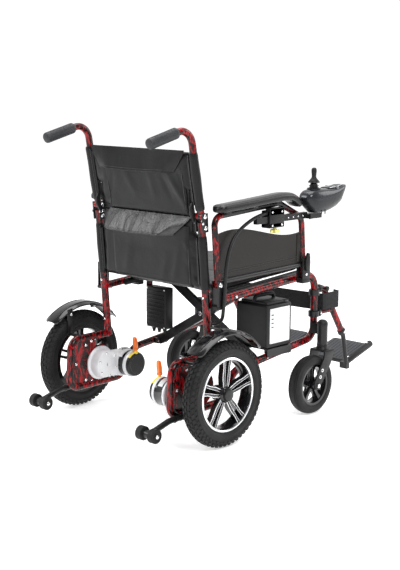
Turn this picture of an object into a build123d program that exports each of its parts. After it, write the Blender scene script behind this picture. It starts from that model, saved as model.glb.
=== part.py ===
"""Folding power wheelchair, one STEP file per named node.

Millimetres, +Z up, +Y to the rear, the sitter's right at -X, the floor at Z 0.
The shapes are drawn with the rear axle at Y 0 and moved by AXLE_Y at the end,
so that the chair's length is centred on the origin.
"""

import math
import os

from build123d import *

os.makedirs("parts", exist_ok=True)

# ---- clearances ----
RUN = 0.05  # shaft in a bore that turns on it, radial
SLIP = 0.3  # face beside a moving face
SOFT = 0.3  # upholstery beside anything it doesn't hang on

# ---- drive wheels ----
WHEEL_R = 160.0
WHEEL_X = 320.0
TYRE_W = 54.0
TYRE_BORE_R = 113.0
RIM_W = 40.0
AXLE_Z = WHEEL_R
AXLE_R = 8.0
HUB_R = 24.0
SPOKES = 5

# ---- castors ----
CASTOR_R = 95.0
CASTOR_W = 44.0
CASTOR_X = 275.0
STEM_Y = -527.0
STEM_TRAIL = 58.0
STEM_R = 8.0
HOUSING_R = 17.0
HOUSING_Z0 = 212.0
HOUSING_Z1 = 288.0
FORK_GAP = 4.0
FORK_T = 5.0

# ---- side frames ----
FRAME_X = 225.0
TUBE_R = 12.0
ARM_TUBE_R = 9.5
FRONT_Y = -543.0
RAIL_REAR_Z = 410.0
RAIL_FRONT_Z = 446.0
POST_FOOT_Y = -42.0
POST_FOOT_Z = 250.0
HINGE_Y = -2.0
HINGE_Z = 675.0
PLATE_T = 6.0

# ---- cross brace ----
PIVOT_X = 200.0
PIVOT_Z = 198.0
BRACE_Y = -265.0
BRACE_T = 14.0
BRACE_H = 28.0
BRACE_GAP = 4.0
SEAT_X = 197.0
SEAT_TUBE_R = 11.0
SEAT_Y0 = -500.0
SEAT_Y1 = -92.0
PIN_R = 6.0

# ---- back ----
POST_DROP = 5.0
PANEL_FRONT = 34.0
PANEL_REAR = 12.0
PANEL_TOP_Z = 868.0
BACK_BEND_Y = 37.0
BACK_BEND_Z = 880.0
GRIP_Y0 = 104.0
GRIP_Y1 = 212.0
GRIP_Z0 = 922.0
GRIP_DROP = 14.6
GRIP_R = 16.5
EAR_T = 4.0

# ---- armrests ----
ARM_X = 253.0
ARM_PIVOT_Y = -46.0
ARM_PIVOT_Z = 470.0
PAD_X = 268.0
PAD_W = 50.0
SKIRT_T = 4.0

# ---- joystick ----
WELL_R = 21.0
WELL_DEEP = 26.0
TILT_DEEP = 8.0
TRUNNION_R = 2.0
TRUNNION_IN = 4.0
GIMBAL_R = 14.0
GIMBAL_BORE_R = 8.5
CROSS_PIN_R = 1.6
STICK_R = 4.0
BOOT_R = 16.5
STICK_X = -290.0
STICK_W = 66.0
STICK_Y = -447.0
STICK_Z = 732.0
BAR_X = -272.0
BAR_Z = 649.0
BAR_H = 20.0
BAR_W = 14.0

# ---- legrests ----
HANGER_Z = 391.0
HANGER_Y = -590.0
LEG_END_Y = -700.0
LEG_END_Z = 222.0
LEG_ARM_Z = 310.0
LEG_BORE_Y = -654.25
LEG_R = 11.0
EXT_R = 8.0
FOOT_Y = -741.0
FOOT_Z = 110.3
FOOT_SLOPE = 0.3
SLEEVE_X = 210.0
SLEEVE_R = 12.0
FOOT_LONG = 150.0
FOOT_WIDE = 150.0

# ---- battery and controller ----
BAT_Y0 = -415.0
BAT_Y1 = -290.0
BAT_Z0 = 231.0
BAT_Z1 = 371.0
BAT_IN = 107.0
BOX_Y0 = -243.0
BOX_Y1 = -203.0

# ---- anti-tippers ----
TIP_Y = 230.0
TIP_Z = 68.6
TIP_R = 21.0
TIP_W = 20.0

# ---- whole ----
FRONT_REACH = FOOT_Y - (FOOT_LONG + FOOT_SLOPE * SLEEVE_R) / math.sqrt(1 + FOOT_SLOPE**2)
REAR_REACH = TIP_Y + TIP_R
AXLE_Y = -(FRONT_REACH + REAR_REACH) / 2


# ---------------------------------------------------------------- helpers
def tube(points, radii, r):
    """A round bar along points joined by tangent bends of the radii."""
    if radii:
        line = FilletPolyline(*points, radius=radii)
    else:
        line = Line(*points)
    start = Plane(origin=line @ 0, z_dir=line % 0)
    return sweep(start * Circle(r), path=line)


def yz(x, pairs):
    """Points at one X from pairs of Y and Z."""
    return [(x, y, z) for y, z in pairs]


def rod(a, b, r):
    """A straight cylinder from a to b."""
    a = Vector(*a)
    b = Vector(*b)
    return extrude(Plane(origin=a, z_dir=b - a) * Circle(r), amount=(b - a).length)


def rod_x(x0, x1, y, z, r):
    lo = min(x0, x1)
    return rod((lo, y, z), (max(x0, x1), y, z), r)


def rod_y(y0, y1, x, z, r):
    return rod((x, min(y0, y1), z), (x, max(y0, y1), z), r)


def rod_z(z0, z1, x, y, r):
    return rod((x, y, min(z0, z1)), (x, y, max(z0, z1)), r)


def ring_x(x0, x1, y, z, r, bore):
    return rod_x(x0, x1, y, z, r) - rod_x(x0 - 1, x1 + 1, y, z, bore)


def box(x0, x1, y0, y1, z0, z1):
    """A block between two corners, in any order."""
    centre = ((x0 + x1) / 2, (y0 + y1) / 2, (z0 + z1) / 2)
    return Pos(*centre) * Box(abs(x1 - x0), abs(y1 - y0), abs(z1 - z0))


def soft_box(x0, x1, y0, y1, z0, z1, r):
    body = box(x0, x1, y0, y1, z0, z1)
    return fillet(body.edges(), radius=r)


def slab_x(x, t, pairs):
    """A flat plate, t thick about the plane X, from its Y and Z corners."""
    face = make_face(Polyline(*yz(x - t / 2, pairs), close=True))
    return extrude(face, amount=t, dir=(1, 0, 0))


def wheel_profile(r, w, bore, shoulder):
    """Half section of a wheel, drawn in X across and Y out."""
    h = w / 2
    pts = [
        (-h + 2, bore),
        (-h, bore + 5),
        (-h, r - shoulder * 1.6),
        (-h * 0.72, r - shoulder * 0.45),
        (-h * 0.36, r - 1),
        (0, r),
        (h * 0.36, r - 1),
        (h * 0.72, r - shoulder * 0.45),
        (h, r - shoulder * 1.6),
        (h, bore + 5),
        (h - 2, bore),
    ]
    return make_face(Polyline(*pts, close=True))


def turned_x(profile, x, y, z):
    """A half section turned about the X axis and set at a centre."""
    return Pos(x, y, z) * revolve(profile, Axis.X)


def one(shape):
    """The single solid of a shape that should hold just one."""
    solids = shape.solids()
    if len(solids) != 1:
        raise ValueError(f"{len(solids)} solids where one is meant")
    return solids[0]


def save(name, *shapes):
    solids = []
    for shape in shapes:
        solids.extend(shape.solids())
    moved = [Pos(0, AXLE_Y, 0) * solid for solid in solids]
    part = moved[0] if len(moved) == 1 else Compound(moved)
    export_step(part, f"parts/{name}.step")


def rail_z(y):
    """Height of the seat rail's centre line."""
    share = (y - POST_FOOT_Y) / (FRONT_Y - POST_FOOT_Y)
    return RAIL_REAR_Z + share * (RAIL_FRONT_Z - RAIL_REAR_Z)


def post_y(z):
    """Y of the back post's centre line."""
    share = (z - POST_FOOT_Z) / (HINGE_Z - POST_FOOT_Z)
    return POST_FOOT_Y + share * (HINGE_Y - POST_FOOT_Y)


def back_y(z):
    """Y of the upper back tube's centre line below its bend."""
    share = (z - HINGE_Z) / (BACK_BEND_Z - HINGE_Z)
    return HINGE_Y + share * (BACK_BEND_Y - HINGE_Y)


def low_z(y):
    """Height of the lower rail's centre line."""
    share = (y - FRONT_Y) / (-153.0 - FRONT_Y)
    return 232.0 + share * (185.0 - 232.0)


# ---------------------------------------------------------------- side frame
def side_frame(s):
    x = s * FRAME_X
    loop = [
        (post_y(rail_z(POST_FOOT_Y)) + 4, RAIL_REAR_Z),
        (FRONT_Y, RAIL_FRONT_Z),
        (FRONT_Y, 232),
        (-153, 185),
        (-93, 98),
        (126, 93),
        (118, 250),
        (POST_FOOT_Y + 3, POST_FOOT_Z + 2),
    ]
    body = tube(yz(x, loop), [45, 45, 60, 36, 34, 34], TUBE_R)
    top = HINGE_Z - TUBE_R - POST_DROP
    body += tube(yz(x, [(POST_FOOT_Y, POST_FOOT_Z - 4), (post_y(top), top)]), None, TUBE_R)
    body += hinge_ears(s)
    body += axle_plate(s)
    body += stem_housing(s)
    body += arm_brackets(s)
    body += saddles(s)
    body += pivot_lug(s)
    if s < 0:
        body += battery_tray()
    else:
        body += box_hanger()
    return one(body)


def hinge_ears(s):
    """Two cheeks on the post's top and the bolt between them."""
    body = None
    for side in (-1, 1):
        inner = TUBE_R + SLIP
        x = s * FRAME_X + side * (inner + EAR_T / 2)
        z0 = HINGE_Z - 46
        pairs = [
            (post_y(z0) - 11, z0),
            (post_y(z0) + 11, z0),
            (HINGE_Y + 12, HINGE_Z + 10),
            (HINGE_Y - 12, HINGE_Z + 10),
        ]
        ear = slab_x(x, EAR_T, pairs)
        body = ear if body is None else body + ear
    reach = TUBE_R + SLIP + EAR_T
    x0 = s * FRAME_X - reach
    x1 = s * FRAME_X + reach
    body += rod_x(x0, x1, post_y(HINGE_Z - 34), HINGE_Z - 34, 6)
    return body + rod_x(x0, x1, HINGE_Y, HINGE_Z, 5)


def axle_plate(s):
    """Plate that closes the rear of the frame and carries the axle tube."""
    pairs = [(20, 96), (122, 96), (115, 246), (20, 246)]
    body = slab_x(s * FRAME_X, PLATE_T, pairs)
    body += rod_x(s * (FRAME_X - 3), s * (FRAME_X + 3), 0, AXLE_Z, 58)
    body += rod_x(s * (FRAME_X - 3), s * (WHEEL_X - TYRE_W / 2 - 4), 0, AXLE_Z, 17)
    return body + rod_x(s * FRAME_X, s * (WHEEL_X + 19), 0, AXLE_Z, AXLE_R)


def stem_housing(s):
    """Upright sleeve that holds the castor's stem, with a domed cap."""
    x = s * CASTOR_X
    body = rod_z(HOUSING_Z0, HOUSING_Z1, x, STEM_Y, HOUSING_R)
    cap = Pos(x, STEM_Y, HOUSING_Z1 - 4) * Sphere(15)
    body += cap & box(x - 20, x + 20, STEM_Y - 20, STEM_Y + 20, HOUSING_Z1 - 6, HOUSING_Z1 + 20)
    gusset = [(FRONT_Y - 4, 250), (FRONT_Y + 22, 250), (FRONT_Y + 22, 284), (FRONT_Y - 4, 284)]
    x0 = s * (FRAME_X + 4)
    x1 = s * (CASTOR_X - 6)
    body += box(x0, x1, gusset[0][0], gusset[1][0], gusset[0][1], gusset[2][1])
    bore = rod_z(HOUSING_Z0 - 1, HOUSING_Z1 - 14, x, STEM_Y, STEM_R + RUN)
    return body - bore


def arm_brackets(s):
    """Fork for the armrest's rear pivot and cradle for its front foot."""
    gap = ARM_TUBE_R + SLIP
    y0 = ARM_PIVOT_Y - 14
    y1 = ARM_PIVOT_Y + 12
    z0 = rail_z(ARM_PIVOT_Y) - TUBE_R
    body = box(s * FRAME_X, s * (ARM_X + gap + 3), y0, y1, z0, z0 + 6)
    for side in (-1, 1):
        inner = s * ARM_X + side * gap
        body += box(inner, inner + side * 3, y0, y1, z0, ARM_PIVOT_Z + 12)
    body += rod_x(s * (ARM_X - gap - 3), s * (ARM_X + gap + 3), ARM_PIVOT_Y, ARM_PIVOT_Z, 4)
    front = -449.0
    base = rail_z(front)
    body += box(s * FRAME_X, s * (ARM_X + gap + 3), front - 16, front + 16, base - 5, base + 5)
    for side in (-1, 1):
        inner = s * ARM_X + side * gap
        body += box(inner, inner + side * 3, front - 16, front + 16, base, 512)
    return body


def saddles(s):
    """Two cradles on the seat rail that the seat tube rests in."""
    body = None
    for y in (-150.0, -440.0):
        z = rail_z(y) + 4
        block = box(s * (FRAME_X - 6), s * (SEAT_X - 13), y - 12, y + 12, z - 18, z)
        block -= seat_tube(s, SEAT_TUBE_R + 0.1)
        body = block if body is None else body + block
    return body


def seat_tube(s, r):
    a = (s * SEAT_X, SEAT_Y0, rail_z(SEAT_Y0) + 4)
    b = (s * SEAT_X, SEAT_Y1, rail_z(SEAT_Y1) + 4)
    return rod(a, b, r)


def pivot_lug(s):
    """Two lugs on the lower rail and the pin that a brace turns on."""
    body = None
    reach = BRACE_T + BRACE_GAP / 2
    for side in (-1, 1):
        y = BRACE_Y + side * (reach + 0.5)
        lug = box(s * FRAME_X, s * PIVOT_X, y, y + side * 5, PIVOT_Z - 11, PIVOT_Z + 8)
        lug += rod_y(y, y + side * 5, s * PIVOT_X, PIVOT_Z - 1.5, 9.5)
        body = lug if body is None else body + lug
    return body + rod_y(BRACE_Y - reach - 4, BRACE_Y + reach + 4, s * PIVOT_X, PIVOT_Z, PIN_R)


# ---------------------------------------------------------------- drive
def motor_y(s):
    return 85.0 if s < 0 else -85.0


def drive_motor(s):
    """Gearbox round the axle, motor can beside it and the brake's end cap."""
    y = motor_y(s)
    z = 153.0
    face = FRAME_X - PLATE_T / 2
    inner = s * (face - 44)
    gearbox = rod_x(s * face, inner, 0, AXLE_Z, 46)
    gearbox += rod_x(s * (face - 16), inner, y, z, 44)
    web = [(0, AXLE_Z - 44), (0, AXLE_Z + 44), (y, z + 42), (y, z - 42)]
    web = slab_x(s * (face - 30), 28, web)
    gearbox += web
    can = rod_x(inner, s * (face - 70), y, z, 42.5)
    ring = rod_x(s * (face - 70), s * (face - 74), y, z, 40)
    cap = rod_x(s * (face - 74), s * (face - 87), y, z, 36)
    boss = rod_z(z + 34, z + 46, s * (face - 80.5), y, 5)
    cap += boss
    return [one(gearbox), can, ring, one(cap)]


def brake_lever(s):
    """Small lever that turns on the boss on top of the motor's cap."""
    y = motor_y(s)
    x = s * (FRAME_X - PLATE_T / 2 - 80.5)
    body = rod_z(199.3, 206, x, y, 8)
    body += slab_x(x, 7, [(y - 5, 200), (y + 5, 200), (y + 7, 240), (y - 1, 242)])
    return one(body)


def drive_tyre(s):
    profile = wheel_profile(WHEEL_R, TYRE_W, TYRE_BORE_R, 16)
    body = turned_x(profile, s * WHEEL_X, 0, AXLE_Z)
    for k in range(36):
        body -= Pos(s * WHEEL_X, 0, AXLE_Z) * (Rot(k * 10, 0, 0) * groove())
    return one(body)


def groove():
    """One tread gap at each shoulder of the tyre's top."""
    cut = None
    for side in (-1, 1):
        piece = Pos(side * TYRE_W * 0.42, 0, WHEEL_R - 3) * Box(TYRE_W * 0.3, 6, 14)
        cut = piece if cut is None else cut + piece
    return cut


def drive_rim(s):
    """Spoked rim with its hub, and a cap on the outer end of the hub."""
    half = RIM_W / 2
    pts = [
        (-half, 96),
        (-half, 104),
        (-half + 3, TYRE_BORE_R),
        (half - 3, TYRE_BORE_R),
        (half, TYRE_BORE_R - 0.5),
        (half + 2, 110),
        (half + 2, 104),
        (half - 2, 100),
        (half - 6, 96),
    ]
    if s < 0:
        pts = [(-a, b) for a, b in pts]
    ring = turned_x(make_face(Polyline(*pts, close=True)), s * WHEEL_X, 0, AXLE_Z)
    hub_in = s * (WHEEL_X - TYRE_W / 2 - 3)
    hub_out = s * (WHEEL_X + 20)
    body = ring + rod_x(hub_in, hub_out, 0, AXLE_Z, HUB_R)
    for k in range(SPOKES):
        for side in (-1, 1):
            spoke = Pos(0, side * 11, 62) * Box(18, 11, 84)
            turn = Rot(90 + k * 360 / SPOKES, 0, 0)
            body += Pos(s * (WHEEL_X + 3), 0, AXLE_Z) * (turn * spoke)
    body -= rod_x(hub_in - s * 5, hub_out + s * 5, 0, AXLE_Z, AXLE_R + RUN)
    cap = rod_x(hub_out, s * (WHEEL_X + 26), 0, AXLE_Z, 19)
    return [one(body), cap]


def fender(s):
    """Curved guard over the tyre with two stays to the frame."""
    outer = WHEEL_R + 31
    inner = outer - 4
    arc = ring_x(min(s * 286, s * 350), max(s * 286, s * 350), 0, AXLE_Z, outer, inner)
    far = 400
    wedge = [
        (0, AXLE_Z),
        (far * math.cos(math.radians(48)), AXLE_Z + far * math.sin(math.radians(48))),
        (0, AXLE_Z + far),
        (-far * math.cos(math.radians(42)), AXLE_Z + far * math.sin(math.radians(42))),
    ]
    body = arc & slab_x(s * 318, 80, wedge)
    side = s * (FRAME_X + TUBE_R)
    y = post_y(341.0)
    body += box(side, s * 300, y - 11, y + 11, 339, 343)
    strut = [(60, 246), (76, 246), (76, 336), (60, 338)]
    body += slab_x(s * 288, 4, strut)
    return body + rod_x(side, s * 290, 68, 251, 5)


# ---------------------------------------------------------------- anti-tip
def anti_tip_arm(s):
    """Bent tube behind the frame, clamped on the lower tube's rear bend."""
    x = s * (FRAME_X + TUBE_R + 9)
    path = [(70, 96), (150, 92), (TIP_Y, TIP_Z)]
    body = tube(yz(x, path), [60], 9)
    body += rod_x(s * 218 - s * 12, s * 267 + s * 12, TIP_Y, TIP_Z, 4)
    body += box(s * (FRAME_X + TUBE_R), s * (FRAME_X + TUBE_R + 21), 72, 92, 84, 106)
    return one(body)


def anti_tip_wheels(s):
    """The two rollers on one arm."""
    body = []
    for x in (218.0, 267.0):
        roller = rod_x(s * x - TIP_W / 2, s * x + TIP_W / 2, TIP_Y, TIP_Z, TIP_R)
        roller = fillet(roller.edges().filter_by(GeomType.CIRCLE), radius=3)
        bore = rod_x(s * x - TIP_W, s * x + TIP_W, TIP_Y, TIP_Z, 4 + RUN)
        body.append(one(roller - bore))
    return body


# ---------------------------------------------------------------- castor
def castor_fork(s):
    """Stem, crown, two legs and the axle of one castor."""
    x = s * CASTOR_X
    inner = CASTOR_W / 2 + FORK_GAP
    ay = STEM_Y + STEM_TRAIL
    body = rod_z(HOUSING_Z0 - 12, HOUSING_Z1 - 16, x, STEM_Y, STEM_R)
    body += rod_z(HOUSING_Z0 - 8, HOUSING_Z0 - 1, x, STEM_Y, 20)
    crown_x = inner + FORK_T
    body += box(x - crown_x, x + crown_x, STEM_Y - 24, STEM_Y + 24, HOUSING_Z0 - 14, HOUSING_Z0 - 8)
    pairs = [
        (STEM_Y - 24, HOUSING_Z0 - 8),
        (STEM_Y + 24, HOUSING_Z0 - 8),
        (ay + 16, CASTOR_R + 4),
        (ay + 10, CASTOR_R - 14),
        (ay - 10, CASTOR_R - 14),
        (ay - 18, CASTOR_R + 4),
    ]
    for side in (-1, 1):
        leg = slab_x(x + side * (inner + FORK_T / 2), FORK_T, pairs)
        body += leg
    return one(body + rod_x(x - crown_x - 4, x + crown_x + 4, ay, CASTOR_R, 5))


def castor_wheel(s):
    """Tyre and five-spoked rim of one castor."""
    x = s * CASTOR_X
    y = STEM_Y + STEM_TRAIL
    tyre = turned_x(wheel_profile(CASTOR_R, CASTOR_W, 66, 10), x, y, CASTOR_R)
    ring = rod_x(x - 18, x + 18, y, CASTOR_R, 65.9) - rod_x(x - 19, x + 19, y, CASTOR_R, 58)
    rim = ring + rod_x(x - CASTOR_W / 2 - 2, x + CASTOR_W / 2 + 2, y, CASTOR_R, 15)
    for k in range(5):
        spoke = Pos(0, 0, 36) * Box(26, 13, 48)
        rim += Pos(x, y, CASTOR_R) * (Rot(20 + 72 * k, 0, 0) * spoke)
    rim -= rod_x(x - 30, x + 30, y, CASTOR_R, 5 + RUN)
    return [tyre, one(rim)]


# ---------------------------------------------------------------- back
def back_tube(s):
    """Upper back tube from the hinge to the push handle."""
    x = s * FRAME_X
    slope = math.tan(math.radians(GRIP_DROP))
    knee_y = back_y(BACK_BEND_Z + 46)
    knee_z = GRIP_Z0 + slope * (GRIP_Y0 - knee_y)
    end = (GRIP_Y1 - 4, GRIP_Z0 - slope * (GRIP_Y1 - 4 - GRIP_Y0))
    path = [(HINGE_Y, HINGE_Z), (knee_y, knee_z), end]
    body = tube(yz(x, path), [46], TUBE_R - 1)
    body += rod_x(x - TUBE_R, x + TUBE_R, HINGE_Y, HINGE_Z, TUBE_R)
    body -= rod_x(x - 30, x + 30, HINGE_Y, HINGE_Z, 5 + RUN)
    return one(body)


def grip(s):
    """Ribbed rubber sleeve on the push handle."""
    slope = math.tan(math.radians(GRIP_DROP))
    x = s * FRAME_X
    a = (x, GRIP_Y0, GRIP_Z0)
    b = (x, GRIP_Y1, GRIP_Z0 - slope * (GRIP_Y1 - GRIP_Y0))
    body = rod(a, b, GRIP_R)
    body = fillet(body.edges().filter_by(GeomType.CIRCLE), radius=4)
    c = (x, GRIP_Y0 - 5, GRIP_Z0 + slope * 5)
    d = (x, GRIP_Y1 - 4, GRIP_Z0 - slope * (GRIP_Y1 - 4 - GRIP_Y0))
    return one(body - rod(c, d, TUBE_R - 1))


def back_latch(s):
    """Lever on the outside of the hinge that locks the back upright."""
    x = s * (FRAME_X - TUBE_R - SLIP - EAR_T - 3.3)
    y = HINGE_Y + 1
    z = HINGE_Z - 18
    body = rod_x(x - 3, x + 3, y, z, 8)
    arm = [(y - 6, z), (y + 6, z - 4), (y + 26, z + 26), (y + 24, z + 50), (y + 10, z + 62), (y + 14, z + 34)]
    body += slab_x(x, 6, arm)
    return one(body)


def back_panel(z0, z1, line, tube_r):
    """Upholstery stretched between two tubes, z0 to z1."""
    half = FRAME_X - tube_r - SOFT
    pairs = [
        (line(z0) - PANEL_FRONT, z0),
        (line(z1) - PANEL_FRONT, z1),
        (line(z1) + PANEL_REAR, z1),
        (line(z0) + PANEL_REAR, z0),
    ]
    return slab_x(0, 2 * half, pairs)


def backrest_lower():
    """Lower panel with the flat pocket and its flap sewn on its rear."""
    pairs = []
    for z, out in ((456, 0), (606, 0), (606, 18), (588, 18), (588, 12), (456, 12)):
        pairs.append((post_y(z) + PANEL_REAR + out, z))
    pocket = slab_x(-15, 338, pairs)
    return one(back_panel(452, HINGE_Z - 52, post_y, TUBE_R) + pocket)


def backrest_upper():
    """Upper panel, cut back at its lower corners for the latches."""
    body = back_panel(HINGE_Z + 14, PANEL_TOP_Z, back_y, TUBE_R - 1)
    for s in (-1, 1):
        body -= box(s * 198, s * 260, -80, 80, HINGE_Z, HINGE_Z + 78)
    return body


# ---------------------------------------------------------------- armrest
def pad_line():
    """Underside of the arm pad, rear to front, as Y and Z."""
    return [(-24, 684), (-316, 703), (-352, 698), (-391, 674)]


def armrest_frame(s):
    """Bent tube that carries the pad and the side panel."""
    x = s * ARM_X
    path = [
        (ARM_PIVOT_Y, ARM_PIVOT_Z),
        (-28, 674),
        (-322, 693),
        (-434, 640),
        (-449, 446),
    ]
    body = tube(yz(x, path), [28, 50, 40], ARM_TUBE_R)
    body += tube(yz(x, [(ARM_PIVOT_Y, 478), (-447, 488)]), None, ARM_TUBE_R - 1)
    body += rod_x(x - ARM_TUBE_R - 0.1, x + ARM_TUBE_R + 0.1, ARM_PIVOT_Y, ARM_PIVOT_Z, 11)
    body -= rod_x(x - 20, x + 20, ARM_PIVOT_Y, ARM_PIVOT_Z, 4 + RUN)
    return one(body)


def arm_pad(s):
    """Moulded pad that droops at its front end."""
    low = pad_line()
    high = [(-395, 692), (-368, 717), (-318, 729), (-30, 709)]
    line = Polyline(*yz(s * PAD_X - PAD_W / 2, low + high), close=True)
    body = extrude(make_face(line), amount=PAD_W, dir=(1, 0, 0))
    body = fillet(body.edges().group_by(Axis.Z)[-1], radius=3)
    return one(body - armrest_frame(s))


def skirt_panel(s):
    """Side panel inside the armrest's loop, with a waved top edge."""
    x = s * ARM_X
    top = Spline((x, -40, 620), (x, -172, 625), (x, -314, 596), (x, -441, 597))
    a = top @ 1
    b = top @ 0
    rest = Polyline(a, (x, -447, 486), (x, -44, 478), b)
    face = make_face([top, rest])
    body = extrude(face, amount=SKIRT_T / 2, both=True, dir=(1, 0, 0))
    return one(body - armrest_frame(s))


def armrest_lock(s):
    """Lever on the outside of the front cradle."""
    x = s * (ARM_X + ARM_TUBE_R + SLIP + 3 + 4.3)
    body = rod_x(x - 4, x + 4, -449, 478, 9)
    body += slab_x(x, 8, [(-457, 478), (-441, 478), (-438, 508), (-447, 524), (-455, 520)])
    return one(body)


# ---------------------------------------------------------------- joystick
def clamp_block():
    """Block under the right armrest that the joystick's bar slides through."""
    top = 684.0
    body = box(BAR_X - 13, BAR_X + 22, -312, -243, BAR_Z - 26, top)
    gap = 0.4
    hole = box(
        BAR_X - BAR_W / 2 - gap,
        BAR_X + BAR_W / 2 + gap,
        -330,
        -230,
        BAR_Z - BAR_H / 2 - gap,
        BAR_Z + BAR_H / 2 + gap,
    )
    body -= hole
    body -= armrest_frame(-1)
    return one(body)


def joystick_arm():
    """Flat bar that carries the joystick, with a foot under the housing."""
    body = box(BAR_X - BAR_W / 2, BAR_X + BAR_W / 2, -430, -190, BAR_Z - BAR_H / 2, BAR_Z + BAR_H / 2)
    return body + box(BAR_X - 26, BAR_X + 7, -480, -424, BAR_Z - 10, BAR_Z + 5)


def joystick_housing():
    """Controller shell, low at the rear and raised at the front."""
    foot = BAR_Z + 5
    side = [
        (-398, 708),
        (-401, 692),
        (-428, 668),
        (-444, foot),
        (-484, foot),
        (-562, 674),
        (-594, 736),
        (-586, 740),
        (-500, STICK_Z - 4),
        (-478, STICK_Z),
        (-414, STICK_Z),
    ]
    body = slab_x(STICK_X, STICK_W, side)
    body -= rod_z(STICK_Z - WELL_DEEP, STICK_Z + 40, STICK_X, STICK_Y, WELL_R)
    reach = WELL_R + TRUNNION_IN
    body -= rod_x(STICK_X - reach, STICK_X + reach, STICK_Y, STICK_Z - TILT_DEEP, TRUNNION_R + RUN)
    for x, y in button_spots():
        body -= rod_z(STICK_Z - 16, STICK_Z + 40, x, y, 5.4)
    return one(body)


def button_spots():
    spots = []
    for k in range(4):
        spots.append((STICK_X - 21 + 14 * k, -540.0))
    return spots


def joystick_gimbal():
    """Ring that turns on two trunnions in the housing and holds the stick's cross pin."""
    z = STICK_Z - TILT_DEEP
    reach = WELL_R + TRUNNION_IN - 0.5
    body = rod_z(z - 2.5, z + 2.5, STICK_X, STICK_Y, GIMBAL_R)
    for side in (-1, 1):
        body += rod_x(STICK_X + side * (GIMBAL_R - 2), STICK_X + side * reach, STICK_Y, z, TRUNNION_R)
    body -= rod_z(z - 4, z + 4, STICK_X, STICK_Y, GIMBAL_BORE_R)
    body -= rod_y(STICK_Y - GIMBAL_R - 1, STICK_Y + GIMBAL_R + 1, STICK_X, z, CROSS_PIN_R + RUN)
    return one(body)


def joystick_boot():
    """Rubber boot round the stick, in rings that narrow upwards."""
    body = None
    z = STICK_Z + SLIP
    for k in range(4):
        ring = rod_z(z, z + 6, STICK_X, STICK_Y, BOOT_R - 2.5 * k)
        z += 5.5
        body = ring if body is None else body + ring
    body -= rod_z(STICK_Z - 1, z + 2, STICK_X, STICK_Y, STICK_R + RUN)
    return one(body)


def joystick_stick():
    """Stick with the pin across its foot and the knob on its top."""
    z = STICK_Z - TILT_DEEP
    body = rod_z(z - 12, STICK_Z + 44, STICK_X, STICK_Y, STICK_R)
    body += rod_y(STICK_Y - GIMBAL_R + 1, STICK_Y + GIMBAL_R - 1, STICK_X, z, CROSS_PIN_R)
    body += rod_z(STICK_Z + 24, STICK_Z + 44, STICK_X, STICK_Y, 7)
    knob = Pos(STICK_X, STICK_Y, STICK_Z + 54) * Sphere(15)
    body += knob & box(STICK_X - 20, STICK_X + 20, STICK_Y - 20, STICK_Y + 20, STICK_Z + 42, STICK_Z + 66)
    return one(body)


def button(k):
    x, y = button_spots()[k]
    z = STICK_Z - 4
    return rod_z(z - 8, z + 7, x, y, 5)


def clamp_knob():
    """Hand knob that locks the joystick's bar in its block."""
    z = BAR_Z - 26
    body = rod_z(z - 0.3, z - 6, BAR_X, -281, 6)
    body += rod_z(z - 6, z - 17, BAR_X, -281, 12)
    for k in range(5):
        a = math.radians(72 * k)
        body += rod_z(z - 6, z - 17, BAR_X + 11 * math.cos(a), -281 + 11 * math.sin(a), 5)
    return one(body)


# ---------------------------------------------------------------- legrest
def legrest_tube(s):
    """Hanger that turns round the front tube and slopes down to the foot."""
    x = s * FRAME_X
    path = [(FRONT_Y, HANGER_Z), (HANGER_Y, HANGER_Z), (LEG_END_Y, LEG_END_Z)]
    body = tube(yz(x, path), [34], LEG_R)
    for z in (HANGER_Z - 10, LEG_ARM_Z):
        body += rod_z(z - 9, z + 9, x, FRONT_Y, TUBE_R + 6)
    body += tube(yz(x, [(FRONT_Y, LEG_ARM_Z), (-642, LEG_ARM_Z)]), None, 7)
    body -= rod_z(290, 420, x, FRONT_Y, TUBE_R + SLIP)
    body -= rod(leg_point(x, LEG_BORE_Y), leg_point(x, -720), EXT_R + SLIP)
    return one(body)


def leg_point(x, y):
    """Point of the leg tube's centre line at one Y."""
    slope = (HANGER_Z - LEG_END_Z) / (HANGER_Y - LEG_END_Y)
    return (x, y, HANGER_Z + (y - HANGER_Y) * slope)


def legrest_extension(s):
    """Inner tube with the cross piece that the footplate hangs on."""
    x = s * FRAME_X
    end = (x, -727, 106)
    body = tube([leg_point(x, -662), leg_point(x, -706), end], [40], EXT_R)
    pin_a = foot_point(-20)
    pin_b = foot_point(FOOT_LONG - 6)
    body += rod((s * SLEEVE_X, *pin_a), (s * SLEEVE_X, *pin_b), 7)
    body += box(s * (SLEEVE_X - 7), s * (FRAME_X + 8), -735, -719, 94, 116)
    return one(body)


def foot_point(d):
    """Y and Z at a distance d along the footplate's sleeve."""
    run = math.sqrt(1 + FOOT_SLOPE**2)
    return (FOOT_Y - d / run, FOOT_Z + d * FOOT_SLOPE / run)


def footplate(s):
    """Plate and the sleeve it turns up on."""
    a = foot_point(0)
    b = foot_point(FOOT_LONG)
    body = rod((s * SLEEVE_X, *a), (s * SLEEVE_X, *b), SLEEVE_R)
    lean = math.degrees(math.atan(FOOT_SLOPE))
    mid = foot_point(FOOT_LONG / 2)
    plate = Box(FOOT_WIDE, FOOT_LONG - 8, 12)
    plate = fillet(plate.edges().filter_by(Axis.Z), radius=14)
    centre = s * (SLEEVE_X - 5 - FOOT_WIDE / 2)
    body += Pos(centre, mid[0], mid[1] - 4) * (Rot(-lean, 0, 0) * plate)
    bore_a = foot_point(-2)
    bore_b = foot_point(FOOT_LONG - 5)
    body -= rod((s * SLEEVE_X, *bore_a), (s * SLEEVE_X, *bore_b), 7 + RUN)
    return one(body)


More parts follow.
